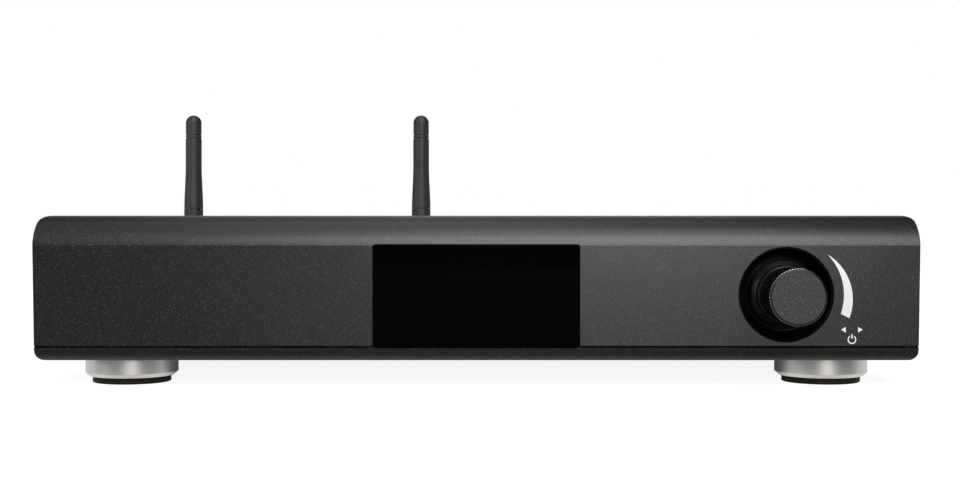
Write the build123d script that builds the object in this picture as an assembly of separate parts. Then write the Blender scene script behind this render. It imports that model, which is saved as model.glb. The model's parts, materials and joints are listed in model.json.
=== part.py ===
from build123d import *
import math
import os

# A network music streamer: a wide, low aluminium case on four turned feet, with a
# black display, a push-and-turn knob in a dished well and two folding aerials.
# Millimetres and degrees. +Z is up and the front looks towards -Y. The origin is on the
# shelf, at the middle of the width and halfway from the knob's face to the aerials.

# Case outside
case_width = 430.0
case_height = 70.6
face_to_rear = 258.0
side_lean = 0.8
widest_drop = 15.0
top_corner_radius = 3.0
edge_break = 0.4
seam = 0.2

# Clearances shared by every piece
seat_gap = 0.3
fit_gap = 0.15
running_gap = 0.05
thread_gap = 0.1
overrun = 5.0

# Front panel
brow_height = 14.7
brow_depth = 25.5
brow_break_depth = 1.0
brow_break_rise = 5.8
brow_knee_depth = 3.0
brow_knee_rise = 8.67
bevel_height = 6.8
bevel_depth = 4.5
bevel_bulge = 0.5
panel_depth = 28.0
face_wall = 8.0
panel_side_wall = 5.0
panel_roof_wall = 8.0
panel_lip_wall = 3.0

# Display
display_width = 100.2
display_overlap = 0.6
display_corner_radius = 1.5
lens_wall = 3.0
lens_inset = 0.2
lens_ledge = 2.6
module_wall = 4.2
board_wall = 1.6
display_board_margin = 5.0
display_screw_inset = 3.2

# Knob well, a dished cup set in the front panel
knob_side_inset = 65.0
knob_lift = 0.75
well_mouth_radius = 22.85
well_lip_radius = 1.2
well_floor_radius = 18.35
well_depth = 11.0
well_shoulder_radius = 21.9
well_shoulder_depth = 4.8
well_dish_shares = (0.76, 0.3)
well_floor_wall = 1.6
well_flange_radius = 26.0
well_flange_wall = 2.0
well_rim_wall = 0.5

# Knob
knob_proud = 27.3
knob_radius = 13.6
knurl_depth = 0.35
knurl_count = 60
knurl_margin = 0.8
knob_face_break = 0.4
skirt_radius = 16.3
skirt_drop = 4.0
skirt_neck_radius = 13.9
knob_floor_clearance = 0.6
knob_cavity_radius = 11.0
knob_core_depth = 3.0
knob_push_travel = 1.0
grub_radius = 1.45
grub_length = 5.0
grub_drop = 8.0

# Rotary encoder behind the well
shaft_radius = 3.0
shaft_reach = 13.5
shaft_tail = 5.0
bushing_radius = 4.5
bushing_reach = 7.0
encoder_side = 14.0
encoder_length = 10.0
encoder_wall = 1.2
plunger_radius = 3.8
plunger_thickness = 2.0
nut_across = 12.0
nut_thickness = 2.0
encoder_board_side = 24.0

# Sheet metal
cover_wall = 2.0
pan_wall = 1.5
pan_flange_height = 14.0
pan_tongue_reach = 12.0
rear_wall = 1.5
rear_tab_reach = 10.0
rear_tab_width = 36.0
rear_tab_inset = 27.0
cover_lip_height = 7.0
vent_width = 3.0
vent_length = 42.0
vent_pitch = 8.0
vent_count = 9
vent_bank_inset = 110.0
vent_bank_depth = 150.0

# Feet
foot_height = 13.1
foot_radius = 23.0
foot_chamfer = 2.9
foot_clear = 3.2
foot_side_inset = 40.5
front_foot_depth = 34.0
rear_foot_inset = 36.0
pad_radius = 19.45
pad_bore_radius = 11.0
pad_recess = 2.0
pad_edge_break = 0.8
foot_bolt_seat = 3.0

# Screws
fastener_sides = 8
screw_radius = 1.5
screw_head_radius = 2.8
screw_head_height = 1.8
screw_length = 6.0
flat_head_height = 1.3
bolt_radius = 2.5
bolt_head_radius = 4.4
bolt_head_height = 3.0
bolt_length = 9.0
side_screw_height = 8.0
side_screw_depth_shares = (0.28, 0.86)
panel_screw_inset = 25.0
panel_screw_depth = 20.0
rear_screw_inset = 15.0
rear_screw_drop = 5.0

# Boards and what they carry
standoff_height = 8.0
standoff_radius = 3.0
board_hole_inset = 5.0
board_gap = 13.0
main_board_width = 226.0
main_board_length = 92.0
board_to_rear = 3.0
power_board_side_gap = 11.9
power_board_width = 96.0
power_board_length = 118.0
power_board_to_rear = 32.0
chip_height = 1.8
converter_side = 14.0
processor_side = 20.0
memory_side = 9.0
clock_side = 12.0
chip_across_shares = (0.12, 0.34, 0.62, 0.86)
chip_depth_shares = (0.38, 0.4, 0.34, 0.5)
network_inset = 14.0
network_width = 58.0
network_length = 44.0
network_height = 4.5
network_to_rear = 46.0
capacitor_radius = 9.0
capacitor_height = 30.0
capacitor_pitch = 21.0
capacitor_count = 4
heat_sink_width = 54.0
heat_sink_height = 30.0
heat_sink_depth = 14.0
heat_sink_wall = 3.0
fin_wall = 1.6
fin_count = 7

# Toroidal transformer
toroid_gap = 6.0
toroid_radius = 42.0
toroid_bore_radius = 15.0
toroid_height = 34.0
toroid_shoulder = 8.0
toroid_washer_wall = 2.0
toroid_washer_radius = 26.0
toroid_pad_wall = 2.0

# Mains inlet and its rocker
inlet_side_inset = 33.0
inlet_rise = 31.9
inlet_flange_width = 30.6
inlet_flange_height = 24.0
inlet_flange_wall = 2.0
inlet_body_width = 27.0
inlet_body_height = 19.6
inlet_body_length = 20.0
inlet_socket_width = 24.2
inlet_socket_height = 16.4
inlet_socket_depth = 17.0
inlet_socket_chamfer = 4.5
pin_thickness = 2.0
pin_width = 4.0
pin_reach = 10.5
pin_spread = 7.0
pin_rise = 2.0
pin_tail = 5.0
rocker_spacing = 34.0
rocker_bezel_width = 15.6
rocker_bezel_height = 23.0
rocker_bezel_wall = 1.6
rocker_body_length = 15.0
rocker_width = 10.6
rocker_swing_radius = 9.4
rocker_pivot_depth = 3.0
rocker_tip_rise = 4.6
rocker_valley_rise = 3.2
rocker_tail = 3.0
rocker_half_angle = 8.0
trunnion_radius = 1.0
trunnion_reach = 1.0

# Signal sockets
rca_pitch = 18.0
line_out_inset = 29.0
digital_out_spacing = 38.0
rca_block_width = 13.0
rca_block_height = 15.0
rca_block_length = 12.0
rca_shell_radius = 4.15
rca_shell_wall = 0.7
rca_reach = 9.0
rca_flange_radius = 5.4
rca_flange_wall = 1.2
rca_core_radius = 1.6
rca_core_recess = 0.6
optical_spacing = 24.0
optical_width = 10.0
optical_height = 10.4
optical_length = 13.0
optical_mouth = 8.0
optical_depth = 8.0
optical_lens_radius = 1.6
optical_lens_reach = 3.0
usb_spacing = 30.0
usb_width = 14.4
usb_height = 7.2
usb_length = 15.0
usb_mouth_width = 12.5
usb_mouth_height = 5.1
usb_depth = 11.0
usb_tongue_wall = 1.8
usb_tongue_width = 11.0
ethernet_inset = 43.0
ethernet_width = 16.0
ethernet_height = 13.6
ethernet_length = 19.0
ethernet_mouth_width = 11.8
ethernet_mouth_height = 7.2
ethernet_depth = 13.5
latch_width = 6.4
latch_rise = 2.4
socket_reach = 0.6

# Aerials
aerial_side_inset = 23.6
aerial_spacing = 154.0
connector_drop = 15.7
aerial_standoff = 22.0
elbow_rise = 16.0
elbow_bend_radius = 8.0
barrel_radius = 3.15
barrel_reach = 8.0
barrel_tail = 9.0
lock_nut_across = 8.0
lock_nut_thickness = 2.2
coupling_across = 9.0
coupling_length = 7.0
spigot_radius = 2.4
spigot_reach = 3.6
whip_length = 69.7
whip_base_radius = 6.335
whip_waist_radius = 5.35
whip_cap_radius = 5.23
whip_groove_depth = 0.3
whip_groove_half = 0.5
whip_dome = 5.1
whip_dome_shares = ((0.5, 0.13), (0.87, 0.5))
cap_length = 13.5
groove_pitch = 2.1
taper_start = 36.2
taper_end = 62.0
tongue_width = 7.2
tongue_end_gap = 0.24
tongue_side_gap = 0.1
hinge_pin_radius = 1.5
hinge_pin_inset = 0.35

# Leads inside
ribbon_width = 20.0
ribbon_wall = 0.6
ribbon_gap = 24.0
ribbon_rise = 3.0
lead_radius = 0.9
lead_tail = 18.0
lead_rise = 9.0

# Places worked out from the sizes above
case_bottom = foot_height
case_top = case_bottom + case_height
half_width = case_width / 2
face_low = case_bottom + bevel_height
face_high = case_top - brow_height
overall_depth = knob_proud + face_to_rear + aerial_standoff + whip_base_radius
face_y = knob_proud - overall_depth / 2
rear_y = face_y + face_to_rear
panel_back_y = face_y + panel_depth
cover_front_y = panel_back_y + seam
face_wall_y = face_y + face_wall
pan_top = case_bottom + pan_wall
board_low = pan_top + standoff_height
board_high = board_low + board_wall
low_half_width = half_width - side_lean
inner_half = low_half_width - cover_wall
pan_half = inner_half - seat_gap
rear_inner_y = rear_y - rear_wall
display_z = (face_low + face_high) / 2
display_height = face_high - face_low + 2 * display_overlap
knob_x = half_width - knob_side_inset
knob_z = display_z + knob_lift
knob_floor_gap = knob_push_travel + knob_floor_clearance
connector_height = case_top - connector_drop
pivot_z = connector_height + elbow_rise
aerial_y = rear_y + aerial_standoff
left_aerial_x = aerial_side_inset - half_width
aerials = {"left": left_aerial_x, "right": left_aerial_x + aerial_spacing}
foot_x = half_width - foot_side_inset
feet = {
    "front_left": (-foot_x, face_y + front_foot_depth),
    "front_right": (foot_x, face_y + front_foot_depth),
    "rear_left": (-foot_x, rear_y - rear_foot_inset),
    "rear_right": (foot_x, rear_y - rear_foot_inset),
}
power_board_x = pan_half - power_board_side_gap - power_board_width / 2
power_board_left = power_board_x - power_board_width / 2
main_board_right = power_board_left - board_gap
main_board_left = main_board_right - main_board_width
main_board_x = (main_board_left + main_board_right) / 2
main_board_front = rear_inner_y - board_to_rear - main_board_length
main_board_y = main_board_front + main_board_length / 2
power_board_y = rear_inner_y - power_board_to_rear - power_board_length / 2
network_x = main_board_left + network_inset + network_width / 2
toroid_x = power_board_left - toroid_gap - toroid_radius
toroid_y = (panel_back_y + main_board_front) / 2
ribbon_x = toroid_x - toroid_radius - ribbon_gap - ribbon_width / 2
inlet_x = half_width - inlet_side_inset
inlet_height = case_bottom + inlet_rise
rocker_x = inlet_x - rocker_spacing
line_out_x = main_board_right - line_out_inset
digital_out_x = line_out_x - digital_out_spacing
optical_x = digital_out_x - optical_spacing
ethernet_x = main_board_left + ethernet_inset
usb_x = ethernet_x + usb_spacing
rca_places = (
    line_out_x - rca_pitch / 2,
    line_out_x + rca_pitch / 2,
    digital_out_x,
)
rca_z = board_high + rca_block_height / 2


def block(x, y, z):
    """A box from its limits along X, Y and Z."""
    size = (x[1] - x[0], y[1] - y[0], z[1] - z[0])
    return Pos((x[0] + x[1]) / 2, (y[0] + y[1]) / 2, (z[0] + z[1]) / 2) * Box(*size)


def about(middle, width):
    """The limits of a width centred on a place."""
    return (middle - width / 2, middle + width / 2)


def along_y(face, start, end):
    """A face drawn as X against Z, made solid from one depth to another."""
    return Pos(0, end, 0) * extrude(Plane.XZ * face, end - start)


def along_x(face, start, end):
    """A face drawn as Y against Z, made solid from one X to another."""
    return Pos(start, 0, 0) * extrude(Plane.YZ * face, end - start)


def rod_y(radius, start, end, x=0, z=0):
    """A round bar along Y."""
    return along_y(Pos(x, z) * Circle(radius), start, end)


def rod_x(radius, start, end, y=0, z=0):
    """A round bar along X."""
    return along_x(Pos(y, z) * Circle(radius), start, end)


def rod_z(radius, start, end, x=0, y=0):
    """A round bar along Z."""
    return Pos(x, y, start) * extrude(Circle(radius), end - start)


def hexagon(across):
    """A hexagon from its width across the flats."""
    return RegularPolygon(across / 2, 6, major_radius=False)


def hole_z(radius, start, end, x=0, y=0):
    """An upright hole for a small fastener, with as many sides as the fastener."""
    outline = RegularPolygon(radius, fastener_sides)
    return Pos(x, y, start) * extrude(outline, end - start)


def hole_y(radius, start, end, x=0, z=0):
    """A hole for a small fastener along Y, with as many sides as the fastener."""
    return along_y(Pos(x, z) * RegularPolygon(radius, fastener_sides), start, end)


def screw(radius, head_radius, head_height, length):
    """A screw pointing down, with the underside of its head at the origin."""
    head = extrude(RegularPolygon(head_radius, fastener_sides), head_height)
    shank = extrude(RegularPolygon(radius, fastener_sides), length)
    return head + Pos(0, 0, -length) * shank


def machine_screw():
    """The small screw used all over the case."""
    return screw(screw_radius, screw_head_radius, screw_head_height, screw_length)


def flat_screw():
    """A countersunk screw pointing down, the top of its head at the origin."""
    top = RegularPolygon(screw_head_radius, fastener_sides)
    neck = RegularPolygon(screw_radius, fastener_sides)
    head = loft([Pos(0, 0, -flat_head_height) * neck, top], ruled=True)
    return head + Pos(0, 0, -screw_length) * extrude(neck, screw_length - flat_head_height)


def flat_screw_hole():
    """The countersunk hole that a flat screw sits in."""
    top = RegularPolygon(screw_head_radius + thread_gap, fastener_sides)
    neck = RegularPolygon(screw_radius + thread_gap, fastener_sides)
    hole = loft([Pos(0, 0, -flat_head_height) * neck, top], ruled=True)
    hole += hole_z(screw_radius + thread_gap, -screw_length - overrun, -flat_head_height)
    return hole + hole_z(screw_head_radius + thread_gap, 0, overrun)


def case_outline(inset):
    """The case seen from the front, drawn in by an inset, its sides leaning in below."""
    half = half_width - inset
    low_half = low_half_width - inset
    low = case_bottom + inset
    high = case_top - inset
    widest = case_top - widest_drop
    outline = Polyline(
        (-low_half, low),
        (low_half, low),
        (half, widest),
        (half, high),
        (-half, high),
        (-half, widest),
        close=True,
    )
    face = make_face(outline)
    upper = face.vertices().sort_by(Axis.Y)[-2:]
    return fillet(upper, max(top_corner_radius - inset, edge_break))


def panel_section():
    """The front panel from the side: bevel, flat face, creased brow and crown."""
    bevel_middle = (
        bevel_depth / 2 - bevel_bulge,
        case_bottom + bevel_height / 2 - bevel_bulge,
    )
    bevel = ThreePointArc((bevel_depth, case_bottom), bevel_middle, (0, face_low))
    face = Line((0, face_low), (0, face_high))
    brow = Line((0, face_high), (brow_break_depth, face_high + brow_break_rise))
    knee = (brow_knee_depth, face_high + brow_knee_rise)
    crown = TangentArc((brow_depth, case_top), knee, tangent=(-1, 0))
    brow_end = (brow_break_depth, face_high + brow_break_rise)
    shoulder = TangentArc(knee, brow_end, tangent=crown % 1)
    back = Polyline(
        (brow_depth, case_top),
        (panel_depth, case_top),
        (panel_depth, case_bottom),
        (bevel_depth, case_bottom),
    )
    return make_face([bevel, face, brow, shoulder, crown, *back.edges()])


def display_window(width, height, radius, start, end):
    """A round-cornered block where the display sits, between two depths."""
    outline = Pos(0, display_z) * RectangleRounded(width, height, radius)
    return along_y(outline, face_y + start, face_y + end)


def panel_screw_places():
    """Where the front panel is screwed to the pan's tongue from below."""
    reach = half_width - panel_screw_inset
    return [(x, face_y + panel_screw_depth) for x in (-reach, 0, reach)]


def display_screw_places():
    """Where the display board is screwed to the back of the face wall."""
    half = display_width / 2 + display_board_margin - display_screw_inset
    rise = display_height / 2 - display_screw_inset
    return [(x, display_z + z) for x in (-half, half) for z in (-rise, rise)]


def well_lip_cutter():
    """What breaks the edge of the front panel where the well opens."""
    outer = well_mouth_radius + well_lip_radius
    inner = well_mouth_radius - well_lip_radius
    outline = Polyline(
        (outer, 0),
        (well_mouth_radius, well_lip_radius),
        (inner, well_lip_radius),
        (inner, -overrun),
        (outer, -overrun),
        close=True,
    )
    return Pos(knob_x, face_y, knob_z) * revolve(make_face(outline), Axis.Y)


def front_panel():
    """The milled front: brow, bevel, display window and the mouth of the knob well."""
    panel = Pos(0, face_y, 0) * along_x(panel_section(), -half_width, half_width)
    panel &= along_y(case_outline(0), face_y, panel_back_y)
    inner = low_half_width - panel_side_wall
    panel -= block(
        (-inner, inner),
        (face_wall_y, panel_back_y + overrun),
        (case_bottom + panel_lip_wall, case_top - panel_roof_wall),
    )
    pocket_depth = lens_inset + lens_wall
    panel -= display_window(
        display_width, display_height, display_corner_radius, -overrun, pocket_depth
    )
    panel -= display_window(
        display_width - 2 * lens_ledge,
        display_height - 2 * lens_ledge,
        display_corner_radius,
        0,
        face_wall + overrun,
    )
    panel -= rod_y(well_mouth_radius, face_y - overrun, face_wall_y + overrun, knob_x, knob_z)
    panel -= well_lip_cutter()
    for x, y in panel_screw_places():
        panel -= hole_z(screw_radius + thread_gap, 0, case_bottom + overrun, x, y)
        seat = case_bottom + screw_head_height
        panel -= hole_z(screw_head_radius + fit_gap, 0, seat, x, y)
    for x, z in display_screw_places():
        start = face_wall_y - screw_length + board_wall
        panel -= hole_y(screw_radius + thread_gap, start, face_wall_y + overrun, x, z)
    return panel


def display_lens():
    """The black glass over the display, flush in its window."""
    return display_window(
        display_width - 2 * fit_gap,
        display_height - 2 * fit_gap,
        display_corner_radius,
        lens_inset,
        lens_inset + lens_wall,
    )


def display_module():
    """The flat display behind the glass, in the smaller opening of the face wall."""
    start = lens_inset + lens_wall + fit_gap
    body = display_window(
        display_width - 2 * lens_ledge - 2 * seat_gap,
        display_height - 2 * lens_ledge - 2 * seat_gap,
        display_corner_radius,
        start,
        start + module_wall,
    )
    return body


def display_board():
    """The display's driver board, screwed to the back of the face wall."""
    width = display_width + 2 * display_board_margin
    board = block(
        about(0, width),
        (face_wall_y, face_wall_y + board_wall),
        about(display_z, display_height),
    )
    for x, z in display_screw_places():
        board -= hole_y(
            screw_radius + thread_gap, face_wall_y, face_wall_y + board_wall, x, z
        )
    return board


def display_screws():
    """The four screws of the display board, their heads inside the case."""
    head_y = face_wall_y + board_wall
    turned = Rot(-90, 0, 0) * machine_screw()
    return [Pos(x, head_y, z) * turned for x, z in display_screw_places()]


def knob_well():
    """The glossy dished cup that the knob stands in, flanged behind the face wall."""
    outer = well_mouth_radius - thread_gap
    rim = outer - well_rim_wall
    start = well_lip_radius + seam
    back = well_depth + well_floor_wall
    hole = bushing_radius + thread_gap
    drop = well_depth - well_shoulder_depth
    run = well_shoulder_radius - well_floor_radius
    run_share, drop_share = well_dish_shares
    outline = Polyline(
        (rim, start),
        (well_shoulder_radius, well_shoulder_depth),
        (well_floor_radius + run * run_share, well_depth - drop * drop_share),
        (well_floor_radius, well_depth),
        (hole, well_depth),
        (hole, back),
        (outer, back),
        (outer, face_wall + well_flange_wall),
        (well_flange_radius, face_wall + well_flange_wall),
        (well_flange_radius, face_wall),
        (outer, face_wall),
        (outer, start),
        close=True,
    )
    return Pos(knob_x, face_y, knob_z) * revolve(make_face(outline), Axis.Y)


def knurl_outline():
    """The knob's ridged section, each ridge a tip between two valleys."""
    points = []
    for step in range(2 * knurl_count):
        radius = knob_radius if step % 2 else knob_radius - knurl_depth
        turn = math.pi * step / knurl_count
        points.append((radius * math.cos(turn), radius * math.sin(turn)))
    return make_face(Polyline(*points, close=True))


def knob():
    """The turned knob: flat face, knurled barrel, flared skirt and hollow back."""
    back = well_depth - knob_floor_gap
    root = knob_radius - knurl_depth
    face = root - knob_face_break
    outline = Polyline(
        (0, -knob_proud),
        (face, -knob_proud),
        (root, -knob_proud + knob_face_break),
        (root, -knurl_margin),
        (skirt_neck_radius, -knurl_margin),
        (skirt_neck_radius + knob_face_break, skirt_drop / 2),
        (skirt_radius - knob_face_break, skirt_drop),
        (skirt_radius, skirt_drop + knob_face_break),
        (skirt_radius, back),
        (0, back),
        close=True,
    )
    body = revolve(make_face(outline), Axis.Y)
    body += along_y(knurl_outline(), -knob_proud + knurl_margin, -knurl_margin)
    body -= rod_y(knob_cavity_radius, -knob_core_depth, back + overrun)
    body -= rod_y(shaft_radius + running_gap, -shaft_reach - seat_gap, 0)
    grub_hole = rod_z(grub_radius + running_gap, -knob_radius - overrun, 0)
    body -= Pos(0, -grub_drop, 0) * grub_hole
    return Pos(knob_x, face_y, knob_z) * body


def knob_grub_screw():
    """The small socket screw that grips the shaft, in the underside of the barrel."""
    low = -shaft_radius - seat_gap - grub_length
    body = rod_z(grub_radius, low, low + grub_length)
    socket = Pos(0, 0, low) * extrude(hexagon(grub_radius), grub_length / 3)
    return Pos(knob_x, face_y - grub_drop, knob_z) * (body - socket)


def encoder_shaft():
    """The shaft, flatted where the grub screw bears, through to the encoder."""
    tail = well_depth + well_floor_wall + shaft_tail
    shaft = rod_y(shaft_radius, -shaft_reach, tail)
    flat = shaft_radius / 4
    shaft -= block(
        about(0, 2 * shaft_radius),
        (-shaft_reach, -knob_core_depth),
        (-shaft_radius - overrun, -shaft_radius + flat),
    )
    return Pos(knob_x, face_y, knob_z) * shaft


def encoder_body():
    """The encoder's box and threaded bushing, hollow where the plunger travels."""
    back = well_depth + well_floor_wall
    end = back + encoder_length
    body = block(about(0, encoder_side), (back, end), about(0, encoder_side))
    body += rod_y(bushing_radius, well_depth - bushing_reach, back)
    body -= rod_y(shaft_radius + running_gap, -overrun, back + encoder_wall)
    body -= rod_y(plunger_radius + seat_gap, back + encoder_wall, end - encoder_wall)
    return Pos(knob_x, face_y, knob_z) * body


def encoder_plunger():
    """The push switch's plunger, which the shaft presses and which doesn't turn."""
    start = well_depth + well_floor_wall + shaft_tail + seat_gap
    disc = rod_y(plunger_radius, start, start + plunger_thickness)
    return Pos(knob_x, face_y, knob_z) * disc


def encoder_nut():
    """The nut that holds the encoder to the floor of the well."""
    nut = along_y(hexagon(nut_across), well_depth - nut_thickness, well_depth)
    nut -= rod_y(bushing_radius + running_gap, -overrun, well_depth)
    return Pos(knob_x, face_y, knob_z) * nut


def encoder_board():
    """The little board soldered to the back of the encoder."""
    start = well_depth + well_floor_wall + encoder_length
    board = block(
        about(0, encoder_board_side),
        (start, start + board_wall),
        about(0, encoder_board_side),
    )
    return Pos(knob_x, face_y, knob_z) * board


def side_screw_frames():
    """Where flat screws sit in the cover's sides, each with its way in."""
    z = case_bottom + side_screw_height
    lean = side_lean * side_screw_height / (case_height - widest_drop)
    reach = low_half_width + lean - thread_gap
    length = rear_y - cover_front_y
    frames = []
    for share in side_screw_depth_shares:
        y = cover_front_y + share * length
        frames.append(Pos(reach, y, z) * Rot(0, 90, 0))
        frames.append(Pos(-reach, y, z) * Rot(0, -90, 0))
    return frames


def rear_screw_places():
    """Where the rear panel is screwed to the cover's lip."""
    z = case_top - cover_wall - rear_screw_drop
    reach = half_width - rear_screw_inset
    return [(x, z) for x in (-reach, 0, reach)]


def top_cover():
    """The folded cover: top and both sides in one sheet, with a lip at the rear."""
    cover = along_y(case_outline(0), cover_front_y, rear_y)
    low = case_bottom - overrun
    inner = case_outline(cover_wall)
    cover -= along_y(inner, cover_front_y - overrun, rear_y + overrun)
    cover -= block(
        (-inner_half, inner_half),
        (cover_front_y - overrun, rear_y + overrun),
        (low, case_bottom + pan_flange_height),
    )
    lip_top = case_top - cover_wall
    cover += block(
        about(0, 2 * inner_half),
        (rear_inner_y - cover_wall, rear_inner_y),
        (lip_top - cover_lip_height, lip_top),
    )
    for x, z in rear_screw_places():
        cover -= hole_y(screw_radius + thread_gap, rear_inner_y - overrun, rear_y, x, z)
    for frame in side_screw_frames():
        cover -= frame * flat_screw_hole()
    return cover


def vent_places():
    """The two banks of cooling slots in the pan."""
    middle = (vent_count - 1) / 2
    y = face_y + vent_bank_depth
    bank_x = half_width - vent_bank_inset
    return [
        (side * bank_x + (step - middle) * vent_pitch, y)
        for side in (-1, 1)
        for step in range(vent_count)
    ]


def board_places(x, y, width, length):
    """The four screw places of a board."""
    half_x = width / 2 - board_hole_inset
    half_y = length / 2 - board_hole_inset
    return [(x + dx, y + dy) for dx in (-half_x, half_x) for dy in (-half_y, half_y)]


def standoff_places():
    """Every screw place of the main board and the power board."""
    main = board_places(main_board_x, main_board_y, main_board_width, main_board_length)
    power = board_places(
        power_board_x, power_board_y, power_board_width, power_board_length
    )
    return main + power


def base_pan():
    """The folded pan, its front edge raised onto the front panel's lip."""
    step_y = cover_front_y + pan_wall
    tongue_low = case_bottom + panel_lip_wall
    tongue_front = panel_back_y - pan_tongue_reach
    half = pan_half - seat_gap
    end = rear_y
    pan = block((-pan_half, pan_half), (cover_front_y, end), (case_bottom, pan_top))
    for side in (-1, 1):
        limits = sorted((side * pan_half, side * (pan_half - pan_wall)))
        flange_top = case_bottom + pan_flange_height
        pan += block(limits, (step_y, rear_inner_y - seat_gap), (case_bottom, flange_top))
    clear = low_half_width - panel_side_wall - seat_gap
    tongue = (-clear, clear)
    pan += block(tongue, (cover_front_y, step_y), (case_bottom, tongue_low + pan_wall))
    pan += block(tongue, (tongue_front, step_y), (tongue_low, tongue_low + pan_wall))
    slot = Rectangle(vent_width, vent_length)
    for x, y in vent_places():
        pan -= Pos(x, y, case_bottom - overrun) * extrude(slot, 2 * overrun)
    for x, y in feet.values():
        pan -= hole_z(bolt_radius + thread_gap, 0, pan_top + overrun, x, y)
    for x, y in panel_screw_places():
        pan -= hole_z(screw_radius + thread_gap, 0, tongue_low + overrun, x, y)
    for x, y in rear_tab_places():
        pan -= hole_z(screw_radius + thread_gap, 0, pan_top + overrun, x, y)
    for frame in side_screw_frames():
        pan -= frame * flat_screw_hole()
    return pan


def rear_tab_places():
    """Where the rear panel's two tabs are screwed to the pan from below."""
    y = rear_inner_y - rear_tab_reach / 2
    x = half_width - rear_tab_inset
    return [(-x, y), (x, y)]


def rear_panel():
    """The rear panel with its cut-outs, two tabs folded forward onto the pan."""
    outline = case_outline(cover_wall + fit_gap)
    plate = along_y(outline, rear_inner_y, rear_y)
    plate -= block(
        (-half_width, half_width), (rear_inner_y, rear_y), (0, pan_top)
    )
    for x, y in rear_tab_places():
        plate += block(
            about(x, rear_tab_width),
            about(y, rear_tab_reach),
            (pan_top, pan_top + rear_wall),
        )
    for cut in rear_cuts():
        plate -= cut
    for x, z in rear_screw_places():
        plate -= hole_y(screw_radius + thread_gap, rear_inner_y, rear_y, x, z)
    for x, y in rear_tab_places():
        plate -= hole_z(screw_radius + thread_gap, 0, pan_top + overrun, x, y)
    return plate


def rear_cut(x, z, width, height):
    """A rectangular cut through the rear panel, larger than its piece by the fit."""
    return block(
        about(x, width + 2 * fit_gap),
        (rear_inner_y - overrun / 2, rear_y + overrun),
        about(z, height + 2 * fit_gap),
    )


def rear_cuts():
    """Every cut-out of the rear panel, each worked out from the piece it serves."""
    cuts = [
        rear_cut(inlet_x, inlet_height, inlet_body_width, inlet_body_height),
        rear_cut(
            rocker_x,
            inlet_height,
            rocker_bezel_width - 2 * rocker_bezel_wall,
            rocker_bezel_height - rocker_bezel_wall,
        ),
        rear_cut(optical_x, board_high + optical_height / 2, optical_width, optical_height),
        rear_cut(usb_x, board_high + usb_height / 2, usb_width, usb_height),
        rear_cut(
            ethernet_x, board_high + ethernet_height / 2, ethernet_width, ethernet_height
        ),
    ]
    for x in rca_places:
        radius = rca_shell_radius + fit_gap
        cuts.append(rod_y(radius, rear_inner_y, rear_y, x, rca_z))
    for x in aerials.values():
        radius = barrel_radius + thread_gap
        cuts.append(rod_y(radius, rear_inner_y, rear_y, x, connector_height))
    return cuts


def foot_shell(x, y):
    """A turned foot, chamfered below, recessed for its pad and bored for its bolt."""
    recess_z = foot_clear + pad_recess
    bolt_z = case_bottom - foot_bolt_seat
    points = (
        (bolt_radius + thread_gap, case_bottom),
        (foot_radius, case_bottom),
        (foot_radius, foot_clear + foot_chamfer),
        (foot_radius - foot_chamfer, foot_clear),
        (pad_radius + fit_gap, foot_clear),
        (pad_radius + fit_gap, recess_z),
        (bolt_head_radius + seat_gap, recess_z),
        (bolt_head_radius + seat_gap, bolt_z),
        (bolt_radius + thread_gap, bolt_z),
    )
    section = Plane.XZ * make_face(Polyline(*points, close=True))
    return Pos(x, y, 0) * revolve(section, Axis.Z)


def foot_pad(x, y):
    """The rubber ring let into the underside of a foot, resting on the shelf."""
    high = foot_clear + pad_recess
    ring = Circle(pad_radius) - Circle(pad_bore_radius)
    pad = extrude(ring, high)
    outer = pad.edges().filter_by(GeomType.CIRCLE).group_by(Axis.Z)[0]
    pad = chamfer(outer.sort_by(SortBy.RADIUS)[-1], pad_edge_break)
    return Pos(x, y, 0) * pad


def foot_bolts():
    """The bolts that hold the feet to the pan, put in from below."""
    bolt = screw(bolt_radius, bolt_head_radius, bolt_head_height, bolt_length)
    upright = Pos(0, 0, case_bottom - foot_bolt_seat) * Rot(180, 0, 0) * bolt
    return [Pos(x, y, 0) * upright for x, y in feet.values()]


def case_screws():
    """The screws of the cover, front panel and rear panel."""
    from_below = Rot(180, 0, 0) * machine_screw()
    seat = case_bottom + screw_head_height
    screws = [Pos(x, y, seat) * from_below for x, y in panel_screw_places()]
    screws += [Pos(x, y, case_bottom) * from_below for x, y in rear_tab_places()]
    from_behind = Rot(-90, 0, 0) * machine_screw()
    screws += [Pos(x, rear_y, z) * from_behind for x, z in rear_screw_places()]
    return screws + [frame * flat_screw() for frame in side_screw_frames()]


def circuit_board(x, y, width, length):
    """A board on its standoffs, with its four screw holes."""
    board = block(about(x, width), about(y, length), (board_low, board_high))
    for place in board_places(x, y, width, length):
        board -= hole_z(screw_radius + thread_gap, board_low, board_high, *place)
    return board


def standoffs():
    """The threaded pillars that carry the boards on the pan."""
    pillars = []
    for x, y in standoff_places():
        pillar = Pos(x, y, pan_top) * extrude(hexagon(2 * standoff_radius), standoff_height)
        pillar -= hole_z(screw_radius + thread_gap, pan_top, board_low, x, y)
        pillars.append(pillar)
    return pillars


def board_screws():
    """The screws of the boards, down into their standoffs."""
    return [Pos(x, y, board_high) * machine_screw() for x, y in standoff_places()]


def main_board_chips():
    """The converter, processor and memory chips on the main board."""
    sides = (converter_side, processor_side, memory_side, clock_side)
    start = network_x + network_width / 2
    free = main_board_right - start
    z = (board_high, board_high + chip_height)
    chips = []
    for side, across, depth in zip(sides, chip_across_shares, chip_depth_shares):
        x = start + across * free
        y = main_board_front + depth * main_board_length
        chips.append(block(about(x, side), about(y, side), z))
    return chips


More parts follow.
